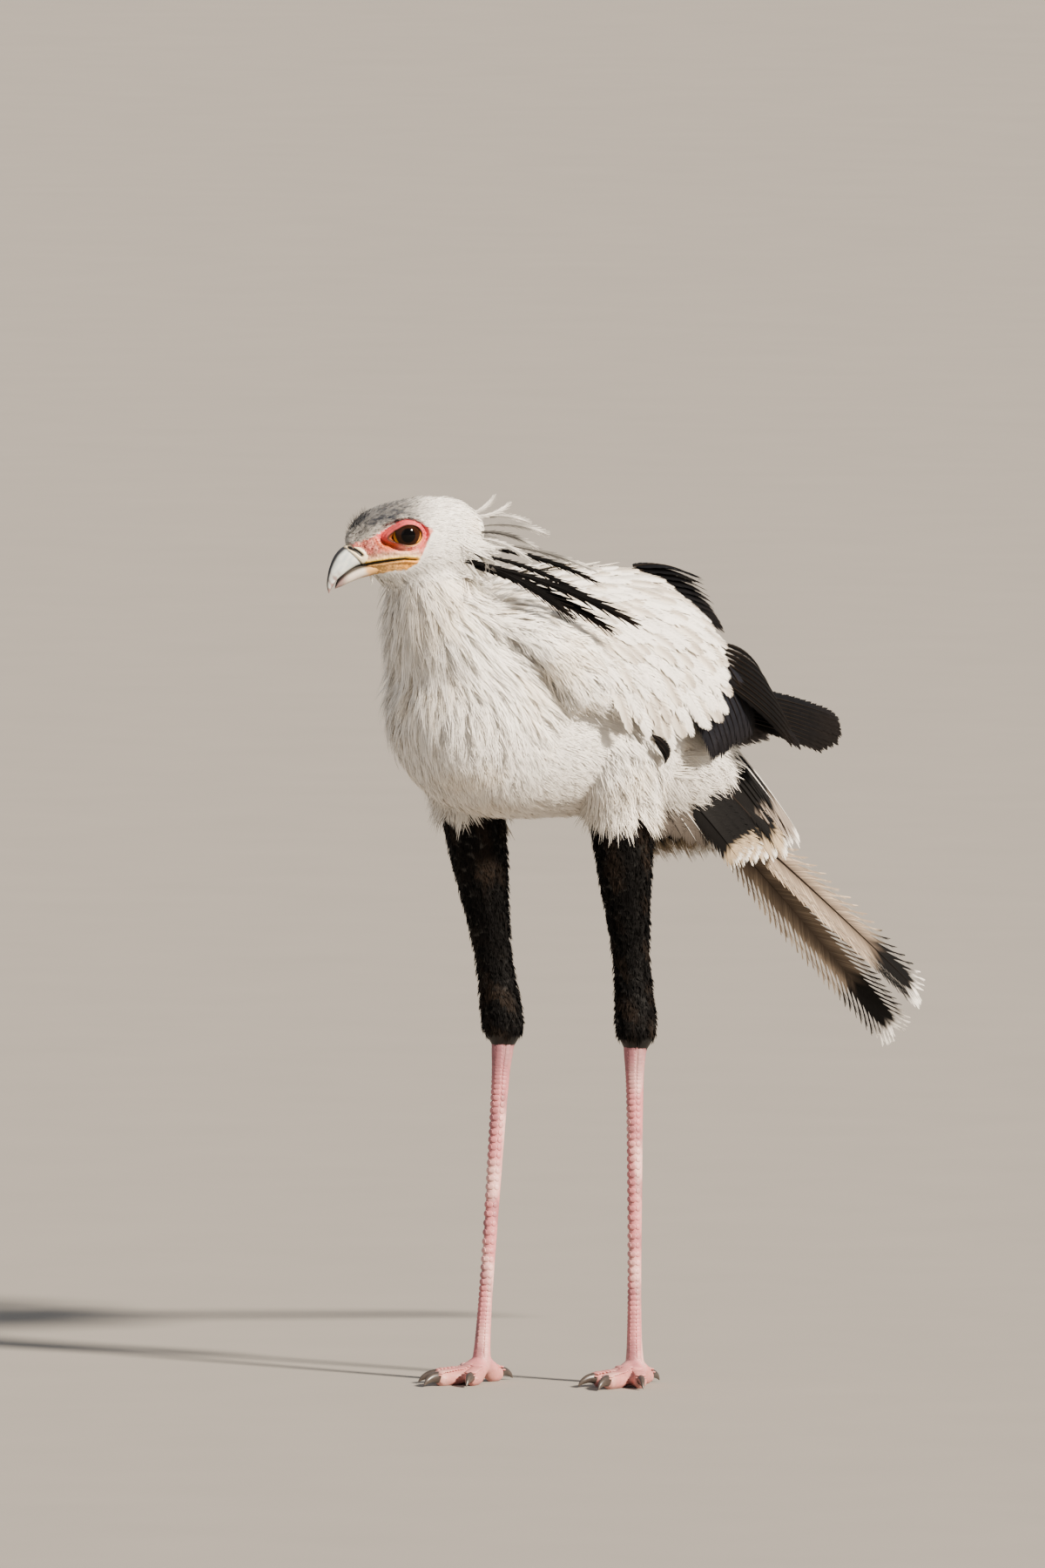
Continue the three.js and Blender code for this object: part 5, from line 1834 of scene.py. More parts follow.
@dataclass(frozen=True)
class Flights:
    """The black tertials, secondaries and primaries of a folded wing. The right wing is held higher."""

    tertials: Row = Row(
        13, ((30, 165, 722), (102, 132, 684)), ((22, 296, 660), (87, 285, 600)),
        ((0.4, 0.1, 0.9), (0.95, 0, 0.3)), 12, bow=2.0,
    )
    ragged: Row = Row(
        9, ((88, 160, 706), (100, 140, 672)), ((66, 262, 668), (97, 262, 602)),
        ((0.8, 0, 0.6), (1, 0, 0.1)), 5.5, arc=0.16, bow=9.0,
    )
    slate: Row = Row(
        10, ((104, 150, 686), (112, 62, 670)), ((90, 214, 618), (94, 140, 600)),
        ((1, 0, 0.15), (0.97, 0, -0.2)), 12, BLUNT,
    )
    primaries: Row = Row(
        9, ((81, 200, 658), (80, 203, 630)), ((42, 416, 619), (44, 386, 592)),
        ((0.95, 0.05, 0.3), (0.98, 0, 0.1)), 9, BLUNT, 0.1,
    )
    right_inner: Row = Row(
        10, ((0, 184, 736), (35, 188, 769)), ((6, 292, 714), (34, 284, 755)),
        ((-0.8, 0, 0.6), (-0.2, 0, 1)), 16, FULL,
    )
    right_tertials: Row = Row(
        14, ((35, 188, 771), (104, 136, 692)), ((34, 290, 754), (88, 285, 632)),
        ((0.1, 0.1, 1), (0.95, 0, 0.3)), 15, FULL,
    )
    loose: Row = Row(
        2, ((121, 4, 628), (121, 8, 622)), ((118, 36, 606), (117, 32, 600)),
        ((1, -0.2, 0.1), (1, -0.2, 0)), 6, BLUNT,
    )

    def build(self, wing: Wing) -> None:
        """Lays the flight feathers of one wing.

        Args:
            wing: The wing.
        """
        rows = [(self.slate, 0.4), (self.primaries, 0.05)]
        if wing.side > 0:
            rows += [(self.tertials, 0.1), (self.ragged, 0.0), (self.loose, 0.0)]
        else:
            rows += [(self.right_tertials, 0.1), (self.right_inner, 0.05)]
        data = [
            row.grow(wing.side, FlightColour(slate), 84, 40 + order, (order + 1) / 6)
            for order, (row, slate) in enumerate(rows)
        ]
        piece = MeshData.joined(data).build(f"flight_feathers_{wing.name}", BLACK_PLUMAGE)
        settle(piece, "black_feather", f"wing_flight_{wing.name}")


class TailColour:
    """Black tail feathers with a pale band and a white tip, and a white shaft."""

    def __init__(self, start: float, pale: float) -> None:
        """Keeps where the band starts, as a share along, and how far it is tan rather than grey."""
        self.start = start
        # A band that starts at the root is darkened to three tenths: partly the under row's grey bases and
        # partly painted shade beneath the tail.
        self.band = mix(linear("#857a70"), linear("#ab987d"), pale) * (1.0 if start > 0 else 0.3)

    def __call__(self, who: Array, at: Array, over: Array, tone: Array) -> Array:
        """The linear colours at shares along and across the feathers."""
        start = self.start + 0.02 * np.sin(over * 4 + who)
        colour = mix(SOOT, self.band, ease(start, start + 0.03, at)[..., None])
        colour = mix(colour, WHITE, (ease(0.955, 0.98, at) * (self.start > 0))[..., None])
        colour = colour * (0.85 + 0.25 * np.clip(tone, 0, 1))[..., None]
        white = WHITE * 0.9 if self.start < 0.8 else BROWN
        return np.where(((tone < 0) & (who < 2))[..., None], white, np.clip(colour, 0, 1))


class LongTailColour:
    """The two long feathers: grey-brown with a dark shaft stripe, a black band and a white tip."""

    def __call__(self, who: Array, at: Array, over: Array, tone: Array) -> Array:
        """The linear colours at shares along and across the feathers."""
        stripe = ease(0.4, 0.12, np.abs(over)) * ease(0.05, 0.3, at)
        grey = mix(linear("#8f7f6e"), linear("#4a3f37"), stripe[..., None] * 0.85)
        # Pale flecks on the outer barbs: partly the vane's own paler barbs and partly painted highlight.
        pale_fleck_and_highlight = ease(0.55, 0.9, tone) * ease(0.2, 0.5, np.abs(over)) * 0.6
        grey = mix(grey, linear("#c3b29c"), pale_fleck_and_highlight[..., None])
        black = (ease(0.79, 0.82, at) * ease(0.99, 0.975, at))[..., None]
        colour = mix(grey, SOOT, black)
        colour = mix(colour, WHITE, ease(0.978, 0.99, at)[..., None])
        colour = colour * (0.75 + 0.4 * np.clip(tone, 0, 1))[..., None]
        return np.where((tone < 0)[..., None], mix(BLACK, BROWN, 0.5), np.clip(colour, 0, 1))


@dataclass(frozen=True)
class Tail:
    """The folded roof of tail feathers, and the two long ones from its middle."""

    upper: Row = Row(
        6, ((13, 226, 640), (38, 214, 596)), ((18, 386, 509), (36, 318, 512)),
        ((0.8, 0.3, 0.5), (1, 0.1, 0)), 30, BLUNT, 0.0, 4.0, 0.12, 0.0013,
    )
    lower: Row = Row(
        6, ((38, 212, 586), (44, 162, 560)), ((38, 342, 495), (46, 248, 492)),
        ((0.9, 0.2, 0.2), (0.9, 0, -0.3)), 17, BLUNT, 0.0, 4.0,
    )
    under: Row = Row(
        4, ((44, 140, 562), (36, 116, 556)), ((42, 204, 511), (38, 146, 522)),
        ((0.9, 0, -0.3), (0.8, 0, -0.5)), 13, BLUNT, 0.0, 3.0,
    )
    long_tips: tuple[Place, ...] = ((24, 577, 345), (-12, 590, 304))
    long_widths: tuple[float, ...] = (0.3, 0.7, 0.95, 1.0, 0.95, 0.85, 0.75, 0.6)
    long_faces: tuple[Place, ...] = ((0.95, 0.05, 0.2), (-0.85, 0.3, 0.45))

    def build_roof(self) -> None:
        """Lays the shorter feathers down each side."""
        data, order = [], 0
        bands = ((self.upper, 0.72, 0.0), (self.lower, 0.8, 1.0), (self.under, 0.0, 0.0))
        for side in (1, -1):
            for row, start, pale in bands:
                data.append(row.grow(side, TailColour(start, pale), 76, 61 + order, (order + 1) / 8))
                order += 1
        piece = MeshData.joined(data).build("tail_feathers", GREY_PLUMAGE)
        settle(piece, "grey_feather", "tail")

    def build_long(self, order: int) -> None:
        """Lays one of the long feathers.

        Args:
            order: 0 for the left one and 1 for the right one.
        """
        name = ("left", "right")[order]
        root = np.array((6 if order == 0 else -6, 240, 558 if order == 0 else 553))
        u = np.linspace(0, 1, 40)[:, None]
        line = mix(root, np.array(self.long_tips[order]), u) + np.array((0, 0, 14)) * u * (1 - u)
        faces = np.broadcast_to(unit(np.array(self.long_faces[order])), line.shape)
        vane = Vane(
            260, outer=self.long_widths, inner=self.long_widths, angle=(30.0, 19.0), camber=-0.1,
            ragged=0.1, parted=0.1, cover=2.4, shaft=0.0014,
        )
        data = vane.grow(
            place(line)[None], faces[None], np.array((27.0 * MM,)), LongTailColour(),
            np.array(((0.5, 0.5),)), 71 + order, 0.9,
        )
        piece = data.build(f"long_tail_feather_{name}", GREY_PLUMAGE)
        settle(piece, "grey_feather", f"tail_long_{name}")


@dataclass(frozen=True)
class Crest:
    """The plumes of the nape.

    Attributes:
        root: How far ahead of the head's centre and above it they grow.
        plumes: [tip forward, tip up, out at the root, out at the tip, half width, whiteness] of each.
        shape: How the half width changes along them.
    """

    root: tuple[float, float] = (-46.0, -2.0)
    plumes: tuple[tuple[float, ...], ...] = (
        (-213, -84, 27, 34, 6.5, 0),
        (-192, -91, 22, 20, 7, 0),
        (-152, -78, 26, 30, 8, 0),
        (-178, -44, 18, 16, 4, 0),
        (-180, -34, 8, 6, 3, 0.2),
        (-170, -60, 24, 26, 4, 0),
        (-131, 2, 6, 8, 4, 0.3),
        (-117, -10, 16, 20, 3, 0.1),
        (-110, -22, 20, 24, 3, 0.9),
        (-96, 33, 3, 3, 3, 1),
        (-84, 40, -6, -8, 3, 1),
        (-120, 12, -10, -14, 3, 0.5),
    )
    shape: tuple[float, ...] = (0.3, 0.45, 0.6, 0.85, 1.0, 1.0, 0.8, 0.35)

    def build(self) -> None:
        """Hangs the plumes from the nape."""
        table = np.array(self.plumes)
        u = np.linspace(0, 1, 20)
        lines = []
        for back, up, out, tip_out, _, _ in self.plumes:
            start = self.root[1] + float(np.clip(0.33 * up + 8, -24, 16)) + (12 if up > 20 else 0)
            rise = mix(start, up, u) + 34 * u * (1 - u) * np.sign(20 - up)
            lines.append(head_point(mix(self.root[0], back, u), mix(out * 0.75, tip_out, u), rise))
        count = len(lines)
        faces = np.broadcast_to(OUT_LEFT, (count, 20, 3))
        vane = Vane(100, self.shape, self.shape, (24.0, 9.0), 0.1, 0.2, 0.1, 2.2, 0.0007)

        def colour(who: Array, at: Array, over: Array, tone: Array) -> Array:
            """Black plumes and white ones, by their whiteness."""
            white = table[who, 5][..., None]
            base = mix(SOOT, WHITE, np.clip(white + (white > 0) * ease(0.7, 1, at)[..., None], 0, 1))
            base = mix(base, BROWN, (ease(0.8, 1, at) * 0.35)[..., None] * (1 - white))
            return base * (0.8 + 0.3 * np.clip(tone, 0, 1))[..., None]

        wide = table[:, 4] * MM
        data = vane.grow(place(np.array(lines)), faces, wide, colour, spaced(count, 0.5), 81, 0.06)
        piece = data.build("crest_plumes", BLACK_PLUMAGE)
        settle(piece, "black_feather")


def closed_surface(points: Array, colours: Array) -> MeshData:
    """A closed tube from a grid of points, rings first, with its ends drawn to their middles."""
    rings, sides = points.shape[:2]
    ends = [np.broadcast_to(points[k].mean(axis=0), (1, sides, 3)) for k in (0, -1)]
    grid = np.concatenate([ends[0], points, ends[1]])
    shades = np.concatenate([colours[:1], colours, colours[-1:]])
    return MeshData.shaped(grid, grid_quads(rings + 2, sides, around=True), shades)


def tidy(piece: bpy.types.Object) -> bpy.types.Object:
    """Merges doubles and turns every face outwards."""
    soft = bmesh.new()
    soft.from_mesh(piece.data)
    bmesh.ops.remove_doubles(soft, verts=soft.verts, dist=1e-6)
    bmesh.ops.recalc_face_normals(soft, faces=soft.faces)
    soft.to_mesh(piece.data)
    soft.free()
    return piece


@dataclass(frozen=True)
class Bill:
    """The two halves of the bill, with the soft base and its nostrils."""

    rings: int = 90
    sides: int = 56

    def surface(self, rows: Array) -> tuple[Array, Array, Array, Array]:
        """The points of one half, and their places in the head's frame."""
        shape = Loft(head_rows(rows), OUT_LEFT, rings=self.rings)
        points = shape.points(*shape.grid(self.sides))
        return (points, *head_frame(points))

    def band(self, low: float, high: float) -> Array:
        """A band along one half, eased in where the sine of the turn round it goes from low to high."""
        turn = np.arange(self.sides) / self.sides * math.tau
        return ease(low, high, np.sin(turn))[None, :] * np.ones((self.rings, 1))

    def build_upper(self) -> None:
        """Models the upper half."""
        points, forward, out, up = self.surface(UPPER_BILL_ROWS)
        line = forward - up - 75.2
        cere = ease(0.8, -1.0, line)
        slit = np.array(((64.5, -7.0), (59.0, -9.6), (53.8, -14.0)))
        near = np.min([np.hypot(forward - f, (up - u) * 1.2) for f, u in self.spread(slit)], axis=0)
        hole = ease(2.5, 1.0, near) * (np.abs(out) > 3)
        lip = np.exp(-(((near - 3.1) / 0.9) ** 2)) * (np.abs(out) > 3)
        groove = np.exp(-((line / 0.9) ** 2)) * (np.abs(out) > 2)
        move = 0.6 * cere + 0.5 * lip - 2.4 * hole - 0.5 * groove
        points = points + (np.sign(out) * move)[..., None] * OUT_LEFT
        top, edge = self.band(0.72, 0.92), self.band(-0.6, -0.85)
        tip = ease(-22, -38, up + 0.4 * (80 - forward))
        growth = ripple(np.stack([forward + up, (forward - up) * 0.25, out], axis=-1), 4.0, 21)
        colour = mix(HORN_WHITE, HORN_BLUE, ease(-0.6, 0.8, growth)[..., None] * 0.7)
        stain = tip * ease(-0.5, 0.5, ripple(points, 7.0, 22))
        colour = mix(colour, HORN_STAIN, (0.75 * stain + 0.25 * tip)[..., None])
        colour = mix(colour, CERE, cere[..., None])
        colour = mix(colour, HORN_DARK, (top * ease(-4, 2, line))[..., None])
        colour = mix(colour, HORN_DARK, (ease(1.5, 0.5, np.abs(line - 0.4)) * 0.85)[..., None])
        # Near-black on the underside of the upper half and in the nostrils: painted shade between the halves
        # and in the nostril hollows.
        colour = mix(colour, SOOT, np.maximum(edge * 0.92, ease(0.1, 0.6, hole))[..., None])
        piece = closed_surface(place(points), colour).build("bill_horn_upper", BILL_HORN)
        settle(tidy(piece), "bill", "bill_upper")

    @staticmethod
    def spread(corners: Array) -> Array:
        """Places along a bent line."""
        return smooth_rows(corners, np.linspace(0, len(corners) - 1, 12))

    def build_lower(self) -> None:
        """Models the lower half."""
        points, forward, _, _ = self.surface(LOWER_BILL_ROWS)
        horn = ease(42, 54, forward + 3 * ripple(points, 9.0, 23))
        colour = mix(OCHRE, linear("#dccfc0"), horn[..., None])
        colour = mix(colour, HORN_STAIN, ease(62, 72, forward)[..., None])
        # Near-black over the top of the lower half: painted shade between the halves.
        colour = mix(colour, SOOT, (self.band(0.25, 0.7) * 0.9)[..., None])
        piece = closed_surface(place(points), colour).build("bill_horn_lower", BILL_HORN)
        settle(tidy(piece), "bill", "bill_lower")


@dataclass(frozen=True)
class Eye(Sided):
    """One eye with its lids.

    Attributes:
        back: How far the opening reaches behind the eye's middle.
        front: How far its drawn-out front corner reaches ahead of it.
        above: How far it reaches above it.
        below: How far it reaches below it.
    """

    back: float = 12.8
    front: float = 20.0
    above: float = 10.0
    below: float = 9.6

    def build_ball(self) -> None:
        """Models the eyeball with its iris and pupil."""
        rings, sides = 90, 72
        around = np.arange(sides) / sides * math.tau
        polar, turn = np.meshgrid(np.linspace(0.002, math.pi - 0.002, rings), around, indexing="ij")
        gaze = unit(OUT_LEFT * self.side + FORWARD * 0.1)
        first = unit(np.cross(UP, gaze))
        second = np.cross(gaze, first)
        rim = first * np.cos(turn)[..., None] + second * np.sin(turn)[..., None]
        direction = gaze * np.cos(polar)[..., None] + rim * np.sin(polar)[..., None]
        centre = head_point(EYE_FORWARD, self.side * EYE_OUT, EYE_UP)
        ahead, over = direction @ FORWARD * EYE_RADIUS, direction @ UP * EYE_RADIUS
        hidden = ease(11.0, 13.5, np.hypot(ahead / 1.3, over))
        points = centre + direction * (EYE_RADIUS * (1 - 0.3 * hidden))[..., None]
        reach = np.sin(np.minimum(polar, math.pi / 2)) * EYE_RADIUS
        rays = 0.5 + 0.5 * np.sin(turn * 46 + 3 * np.sin(polar * 30))
        colour = mix(linear("#040303"), IRIS_DARK, (ease(6.6, 7.2, reach) * (0.6 + 0.4 * rays))[..., None])
        # The amber rim of the iris: its own colour, made brighter and wider at the bottom as painted light
        # through the cornea, and narrower at the top as painted shade of the upper lid.
        low = ease(0.45, -0.5, direction @ UP * 1.2)
        amber = mix(linear("#7c3d0c"), linear("#e89a24"), (0.25 * rays + 0.75 * low)[..., None])
        start = mix(12.4, 10.6, low)
        colour = mix(colour, amber, ease(start, start + 1.2, reach)[..., None])
        colour = mix(colour, linear("#1b0f0a"), ease(12.9, 13.9, reach)[..., None])
        piece = closed_surface(place(points), colour).build(f"eyeball_{self.name}", EYE_GLASS)
        settle(tidy(piece), "eye", f"eye_{self.name}")

    def rim(self, turn: Array, grow: float) -> tuple[Array, Array]:
        """The outline of the opening, drawn out to its front corner, from the eye's middle."""
        c, s = np.cos(turn), np.sin(turn)
        reach = np.where(c > 0, mix(self.back, self.front, np.maximum(c, 0) ** 5), self.back)
        tall = np.where(s > 0, self.above, self.below)
        return c * (reach + grow), s * (tall + grow) - 2.5 * np.maximum(c, 0) ** 4

    @staticmethod
    def ball(forward: Array, up: Array) -> Array:
        """How far out the eyeball's surface is, at places measured from the eye's middle."""
        away = np.minimum(np.hypot(forward, up), 14.2)
        return EYE_OUT + np.sqrt(EYE_RADIUS**2 - away**2)

    def build_lids(self, skin: Skin) -> None:
        """Models the lids: the membrane of the front corner, a dark wet edge and folds of bare skin.

        Args:
            skin: What they end on.
        """
        sides, rings = 160, 34
        turn = np.linspace(0, math.tau, sides, endpoint=False)
        profile = np.linspace(0, 1, rings)
        knots = (0.0, 0.14, 0.22, 0.36, 0.55, 0.8, 1.0)
        grow = np.interp(profile, knots, (-5.0, -0.8, -0.2, 0.8, 2.0, 3.6, 5.4))
        proud = np.interp(profile, knots, (-3.0, -0.5, 0.9, 1.6, 1.3, 0.5, -0.9))
        inner = self.ball(*self.rim(turn, 0.0)) + 0.4
        outer = skin.level(*self.rim(turn, 5.4), self.side)
        forward, up, height = [], [], []
        for p, g, rise in zip(profile, grow, proud):
            f, u = self.rim(turn, g)
            crease = 0.3 * np.sin(turn * 31 + 4 * g + 2 * np.sin(turn * 5)) * ease(0.3, 0.5, p)
            crease = crease + 0.45 * math.sin(p * 26) * ease(0.35, 0.5, p) * ease(1.0, 0.8, p)
            forward.append(f + EYE_FORWARD)
            up.append(u + EYE_UP)
            height.append(mix(inner, outer, ease(0.2, 1.0, p)) + rise + crease)
        forward, up, height = np.array(forward), np.array(up), np.array(height)
        points = head_point(forward, self.side * height, up)
        face, _ = MARKINGS.face(forward, up, np.full(forward.shape, 25.0))
        edge = ease(0.3, 0.42, profile)[:, None, None]
        colour = mix(linear("#3a1a12"), face, edge)
        corner = (ease(0.16, 0.06, profile)[:, None] * np.ones(sides))[..., None]
        colour = mix(colour, linear("#7a3c16"), corner)
        under = ease(0.0, -0.5, np.sin(turn)) * ease(0.5, -0.2, np.cos(turn))
        wet = (ease(0.2, 0.3, profile) * ease(0.5, 0.4, profile))[:, None] * under[None, :]
        colour = mix(colour, GAPE, wet[..., None] * 0.7)
        quads = grid_quads(rings, sides, around=True)
        if self.side < 0:
            quads = quads[:, ::-1]
        piece = MeshData.shaped(place(points), quads, colour).build(f"eyelids_{self.name}", FACE_SKIN)
        settle(piece, "head_feather")


class Shape(Enum):
    """What a stud tree sets on its points."""

    BRISTLE = "slim cone"
    SCUTE = "flattened ball"


@dataclass(frozen=True)
class Studs:
    """Many small solids set on places of the skin by a node tree.

    Attributes:
        name: The piece's name.
        shape: What is set there.
        finish: Its surface.
        slot: The name of a finish of the part; it is not used.
    """

    name: str
    shape: Shape
    finish: Finish
    slot: str

    def tree(self) -> bpy.types.NodeTree:
        """The node tree: one solid at each point, turned and sized by the point's own values.

        Returns:
            The tree.
        """
        tree = bpy.data.node_groups.new(self.name, "GeometryNodeTree")
        face = tree.interface
        for name, kind in (("Geometry", "Geometry"), ("Slimness", "Float"), ("Material", "Material")):
            face.new_socket(name, in_out="INPUT", socket_type=f"NodeSocket{kind}")
        face.new_socket("Geometry", in_out="OUTPUT", socket_type="NodeSocketGeometry")
        given = node(tree, "NodeGroupInput").outputs
        if self.shape is Shape.BRISTLE:
            cone = {"Vertices": 5, "Side Segments": 3, "Radius Top": 0.06, "Radius Bottom": 0.5}
            solid = node(tree, "GeometryNodeMeshCone", {**cone, "Depth": 1.0}).outputs[0]
        else:
            ball = {"Segments": 12, "Rings": 7, "Radius": 0.5}
            solid = node(tree, "GeometryNodeMeshUVSphere", ball).outputs[0]
        reader = "GeometryNodeInputNamedAttribute"
        facing, lying, size = (
            node(tree, reader, {"Name": name}, data_type="FLOAT_VECTOR").outputs[0]
            for name in ("facing", "lying", "size")
        )
        turn = node(tree, "FunctionNodeAlignRotationToVector", {"Vector": facing}, axis="Z").outputs[0]
        lay = {"Rotation": turn, "Vector": lying}
        turn = node(tree, "FunctionNodeAlignRotationToVector", lay, axis="Y", pivot_axis="Z").outputs[0]
        narrow = {"X": given["Slimness"], "Y": given["Slimness"], "Z": 1.0}
        slim = node(tree, "ShaderNodeCombineXYZ", narrow).outputs[0]
        scale = node(tree, "ShaderNodeVectorMath", {0: size, 1: slim}, operation="MULTIPLY").outputs[0]
        points = node(tree, "GeometryNodeMeshToPoints", {"Mesh": given["Geometry"]}).outputs[0]
        spread = {"Points": points, "Instance": solid, "Rotation": turn, "Scale": scale}
        placed = node(tree, "GeometryNodeInstanceOnPoints", spread).outputs[0]
        real = node(tree, "GeometryNodeRealizeInstances", {0: placed}).outputs[0]
        smooth = node(tree, "GeometryNodeSetShadeSmooth", {0: real}).outputs[0]
        dressed = {"Geometry": smooth, "Material": given["Material"]}
        done = node(tree, "GeometryNodeSetMaterial", dressed).outputs[0]
        node(tree, "NodeGroupOutput", {0: done})
        return tree

    def build(
        self, points: Array, facing: Array, lying: Array, size: Array, colours: Array, slim: float
    ) -> None:
        """Sets the studs and turns them into a plain mesh.

        Args:
            points: Where they stand, in metres.
            facing: The way each one points.
            lying: The way that its length lies.
            size: Its width, length and height.
            colours: Its linear colour.
            slim: How slim all of them are, as a share of their width.
        """
        mesh = bpy.data.meshes.new(self.name)
        mesh.from_pydata(points.tolist(), [], [])
        for name, values in (("facing", facing), ("lying", lying), ("size", size)):
            layer = mesh.attributes.new(name, "FLOAT_VECTOR", "POINT")
            layer.data.foreach_set("vector", np.asarray(values, np.float32).ravel())
        paint(mesh, colours)
        piece = bpy.data.objects.new(self.name, mesh)
        bpy.context.scene.collection.objects.link(piece)
        modifier = piece.modifiers.new("studs", "NODES")
        modifier.node_group = self.tree()
        items = modifier.node_group.interface.items_tree
        sockets = {s.name: s.identifier for s in items if s.in_out == "INPUT"}
        modifier[sockets["Slimness"]] = slim
        modifier[sockets["Material"]] = self.finish.build()
        evaluated = piece.evaluated_get(bpy.context.evaluated_depsgraph_get())
        piece.data = bpy.data.meshes.new_from_object(evaluated)
        piece.modifiers.clear()
        settle(piece, self.slot)
        log.info("%s: %d faces", self.name, len(piece.data.polygons))


@dataclass(frozen=True)
class Bristles:
    """The dark bristles at the root of the bill, on the lores and along the upper lid."""

    def build(self, skin: Skin) -> None:
        """Sets the bristles.

        Args:
            skin: What they stand on.
        """
        roots = skin.scatter((Region.HEAD,), 0.0016, 55)
        forward, _, up = head_frame(roots.bird)
        away = eye_distance(forward, up)
        edge = up - np.interp(forward, *BARE_TOP.T)
        lores = ease(20, 26, forward) * ease(62, 54, forward) * ease(-24, -8, edge) * ease(9, 3, edge) * 0.7
        brow = ease(44, 52, forward) * ease(-2, 4, edge) * 0.75
        lash = ease(13.5, 14.5, away) * ease(18, 16.5, away) * ease(6, 11, up) * ease(0, 8, forward) * 0.6
        chosen = roots.keep(np.maximum(np.maximum(lores, brow), lash) > roots.pick)
        forward, _, up = head_frame(chosen.bird)
        rng = np.random.default_rng(56)
        count = len(chosen.point)
        stand = mix(0.5, 1.4, ease(2, 10, up) * ease(40, 50, forward))[:, None]
        facing = unit(chosen.lie + chosen.normal * stand + rng.normal(0, 0.15, (count, 3)))
        length = mix(3.2, 7.5, ease(2, 10, up) * ease(36, 50, forward)) * rng.uniform(0.6, 1.2, count) * MM
        size = np.stack([np.full(count, 0.00032), np.full(count, 0.00032), length], axis=-1)
        colours = np.repeat(mix(SOOT, SLATE, 0.25)[None], count, axis=0)
        studs = Studs("face_bristles", Shape.BRISTLE, BLACK_PLUMAGE, "head_feather")
        studs.build(chosen.point, facing, chosen.lie, size, colours, 1.0)


@dataclass(frozen=True)
class Scutes:
    """The plates down the front of each tarsus and over each toe.

    Attributes:
        plate: How far each plate of the tarsus reaches down it.
        step: How far apart they are, as a share of that.
        wide: How wide the front ones are.
        toe_step: How far apart those of the toes are.
    """

    plate: float = 4.6
    step: float = 0.82
    wide: float = 7.4
    toe_step: float = 4.2

    def build(self, leg: Leg) -> None:
        """Sets the plates of one leg.

        Args:
            leg: The leg.
        """
        tarsus = Loft(leg.tarsus_rows())
        points, facing, lying, size = [], [], [], []

        def add(at: Array, middle: Array, along: Any, sizes: Place) -> None:
            """Adds one plate that faces away from a middle."""
            points.append(at)
            facing.append(unit(at - middle))
            lying.append(along)
            size.append(sizes)

        count = int((HEEL - SOLE) / (self.plate * self.step))
        for i in range(count):
            share = np.array(mix(0.17, 0.93, i / (count - 1)))
            shift = 0.012 * (i % 2)
            for turn, wide in ((0.19 + shift, 1.0), (0.31 + shift, 1.0), (0.06, 0.75), (0.44, 0.75)):
                at, middle = (tarsus.points(share, np.array(turn), out) for out in (-1.5, -7.0))
                add(at, middle, (0, 0, -1), (self.wide * wide, self.plate * 1.3, 1.6))
        for toe in TOES:
            along, across = toe.direction(leg)
            shape = Loft(toe.rows(leg), across)
            number = int(toe.length / self.toe_step)
            for i in range(number):
                share = np.array(mix(0.3, 0.93, i / (number - 1)))
                spots = [shape.points(share, np.array(turn), -0.4) for turn in (0.25, 0.75)]
                upper = max(spots, key=lambda p: p[2])
                add(upper, (spots[0] + spots[1]) / 2, along, (toe.wide * 1.5, 5.6, 2.6))
        spots = place(np.array(points))
        # The plates take the legs' colours, with their painted highlight and shade.
        tone = np.random.default_rng(9).uniform(0.86, 1.08, (len(spots), 1))
        colours = np.clip(MARKINGS.leg(unplace(spots)) * tone, 0, 1)
        studs = Studs(f"leg_scutes_{leg.name}", Shape.SCUTE, LEG_SCUTE, "leg_skin")
        studs.build(spots, np.array(facing), np.array(lying, float), np.array(size) * MM, colours, 1.0)


@dataclass(frozen=True)
class Claws:
    """The four blunt claws of each foot."""

    rings: int = 30
    sides: int = 20

    def build(self, leg: Leg, toe: Toe) -> None:
        """Models one claw.

        Args:
            leg: The leg.
            toe: The toe that it ends.
        """
        shape = Loft(toe.claw_rows(leg), toe.direction(leg)[1], rings=self.rings)
        share, turn = shape.grid(self.sides)
        points = shape.points(share, turn)
        colour = mix(linear("#2b2523"), linear("#4b423c"), share[..., None] * np.ones(3))
        name = f"claw_{toe.name}_{leg.name}"
        piece = closed_surface(place(points), colour).build(f"horn_{name}", CLAW_HORN)
        settle(tidy(piece), "claw", name)


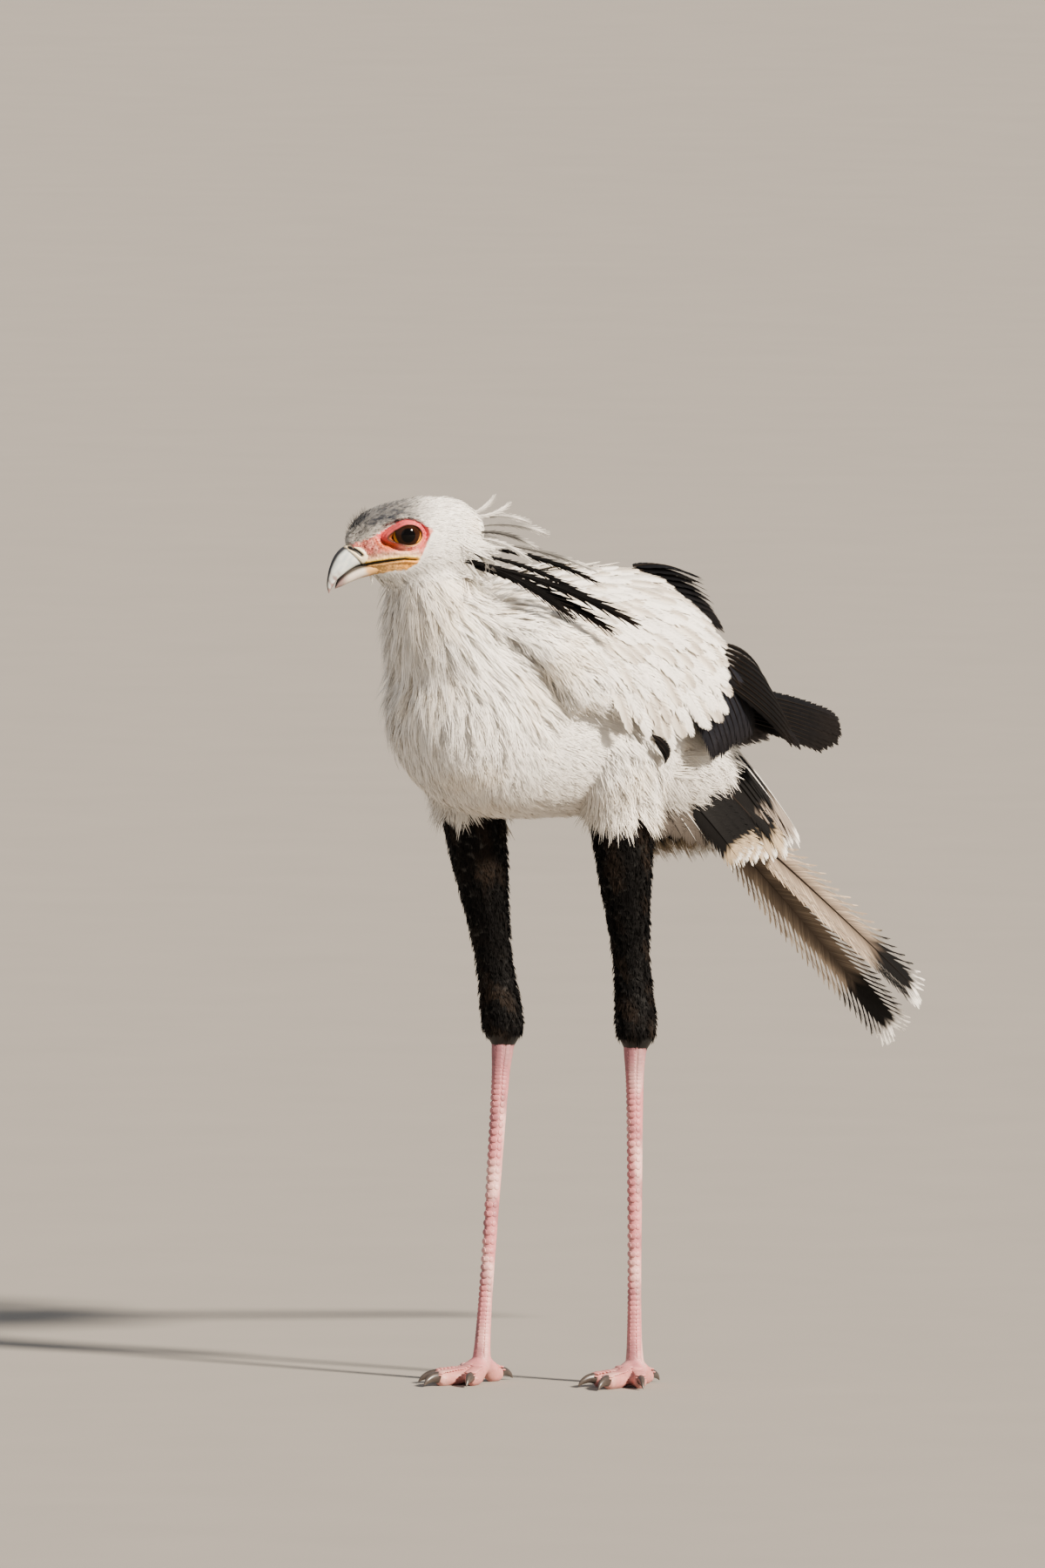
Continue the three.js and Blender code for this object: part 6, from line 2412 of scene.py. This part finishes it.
@dataclass(frozen=True)
class Stage:
    """The floor, the lights and the camera.

    Attributes:
        azimuth: How far the camera stands round from the bird's front, in degrees.
        elevation: How far up it stands, in degrees.
        distance: How far off it is, in metres.
        tall: How much it sees from top to bottom, in metres.
        centre_right: How far right of the bird's origin its middle is.
        centre_up: How far above it.
    """

    azimuth: float = 36.0
    elevation: float = 4.0
    distance: float = 36.0
    tall: float = 1.5
    centre_right: float = -0.0233
    centre_up: float = 0.575

    def build(self) -> None:
        """Sets the stage."""
        self.build_floor()
        self.build_lights()
        self.build_camera()

    def build_floor(self) -> None:
        """Lays a wide pale floor."""
        bpy.ops.mesh.primitive_circle_add(vertices=96, radius=220, fill_type="NGON")
        floor = bpy.context.object
        floor.name = "studio_floor"
        material = bpy.data.materials.new("painted_studio_floor")
        material.use_nodes = True
        tree = material.node_tree
        shader = tree.nodes["Principled BSDF"]
        places = node(tree, "ShaderNodeTexCoord").outputs["Object"]
        coarse = {"Vector": places, "Scale": 6.0, "Detail": 2.0}
        speckle = node(tree, "ShaderNodeTexNoise", coarse).outputs[0]
        pale, paler = (tuple(linear(c)) + (1.0,) for c in ("#86817a", "#8c8780"))
        shade = node(tree, "ShaderNodeMix", {"Factor": speckle, 6: pale, 7: paler}, data_type="RGBA")
        tree.links.new(shade.outputs[2], shader.inputs["Base Color"])
        shader.inputs["Roughness"].default_value = 0.9
        floor.data.materials.append(material)

    def build_lights(self) -> None:
        """Lights the bird softly from above and in front, and the room evenly."""
        world = bpy.data.worlds.new("studio")
        bpy.context.scene.world = world
        world.use_nodes = True
        background = world.node_tree.nodes["Background"]
        background.inputs["Color"].default_value = tuple(linear("#dfe3ea")) + (1.0,)
        background.inputs["Strength"].default_value = 0.5
        right, back, _ = self.axes()
        for name, towards, colour, strength, softness in (
            ("key", right * 0.95 - back * 0.8 + UP * 0.7, "#fff0dd", 15.0, 6.0),
            ("fill", -right * 0.7 - back * 0.8 + UP * 0.5, "#fff8f0", 0.5, 60.0),
        ):
            light = bpy.data.lights.new(name, "SUN")
            light.color = tuple(linear(colour))
            light.energy = strength
            light.angle = math.radians(softness)
            lamp = bpy.data.objects.new(name, light)
            bpy.context.scene.collection.objects.link(lamp)
            lamp.location = Vector(towards) * 4
            lamp.rotation_euler = Vector(towards).to_track_quat("Z", "Y").to_euler()

    def axes(self) -> tuple[Array, Array, Array]:
        """The camera's right, forward and up."""
        turn, tilt = math.radians(self.azimuth), math.radians(self.elevation)
        right = np.array((math.cos(turn), math.sin(turn), 0.0))
        level = math.cos(tilt)
        forward = np.array((-math.sin(turn) * level, math.cos(turn) * level, -math.sin(tilt)))
        return right, forward, np.cross(right, forward)

    def build_camera(self) -> None:
        """Sets the camera at the photograph's viewing angle and framing."""
        right, forward, up = self.axes()
        centre = ORIGIN + right * self.centre_right + up * self.centre_up
        data = bpy.data.cameras.new("camera")
        data.sensor_width = 36.0
        data.lens = data.sensor_width * self.distance / self.tall
        data.clip_end = 400.0
        camera = bpy.data.objects.new("camera", data)
        bpy.context.scene.collection.objects.link(camera)
        camera.location = centre - forward * self.distance
        camera.rotation_euler = Vector(forward).to_track_quat("-Z", "Y").to_euler()
        bpy.context.scene.camera = camera


def build_skin() -> Skin:
    """Makes the skin and gives it its markings.

    Returns:
        The skin.
    """
    skin = Skin()
    colours = MARKINGS.skin(unplace(skin.point), skin.region)
    paint(skin.piece.data, colours)
    skin.piece.data.materials.append(FACE_SKIN.build())
    flesh = ["torso", "neck", "head"]
    for leg in LEGS:
        flesh += [f"{part}_{leg.name}" for part in ("thigh", "shank", "tarsus", "foot")]
    settle(skin.piece, "leg_skin", *flesh)
    return skin


def main() -> None:
    """Builds the bird piece by piece and sets the stage."""
    logging.basicConfig(level=logging.INFO, format="%(message)s")
    skin = build_skin()
    for stretch in FIELDS:
        stretch.build(skin)
    for wing in WINGS:
        Coverts().build(wing)
        Flights().build(wing)
    tail = Tail()
    tail.build_roof()
    for order in (0, 1):
        tail.build_long(order)
    Crest().build()
    bill = Bill()
    bill.build_upper()
    bill.build_lower()
    for side in (1, -1):
        eye = Eye(side)
        eye.build_ball()
        eye.build_lids(skin)
    Bristles().build(skin)
    for leg in LEGS:
        Scutes().build(leg)
        for toe in TOES:
            Claws().build(leg, toe)
    Stage().build()


if __name__ == "__main__":
    main()
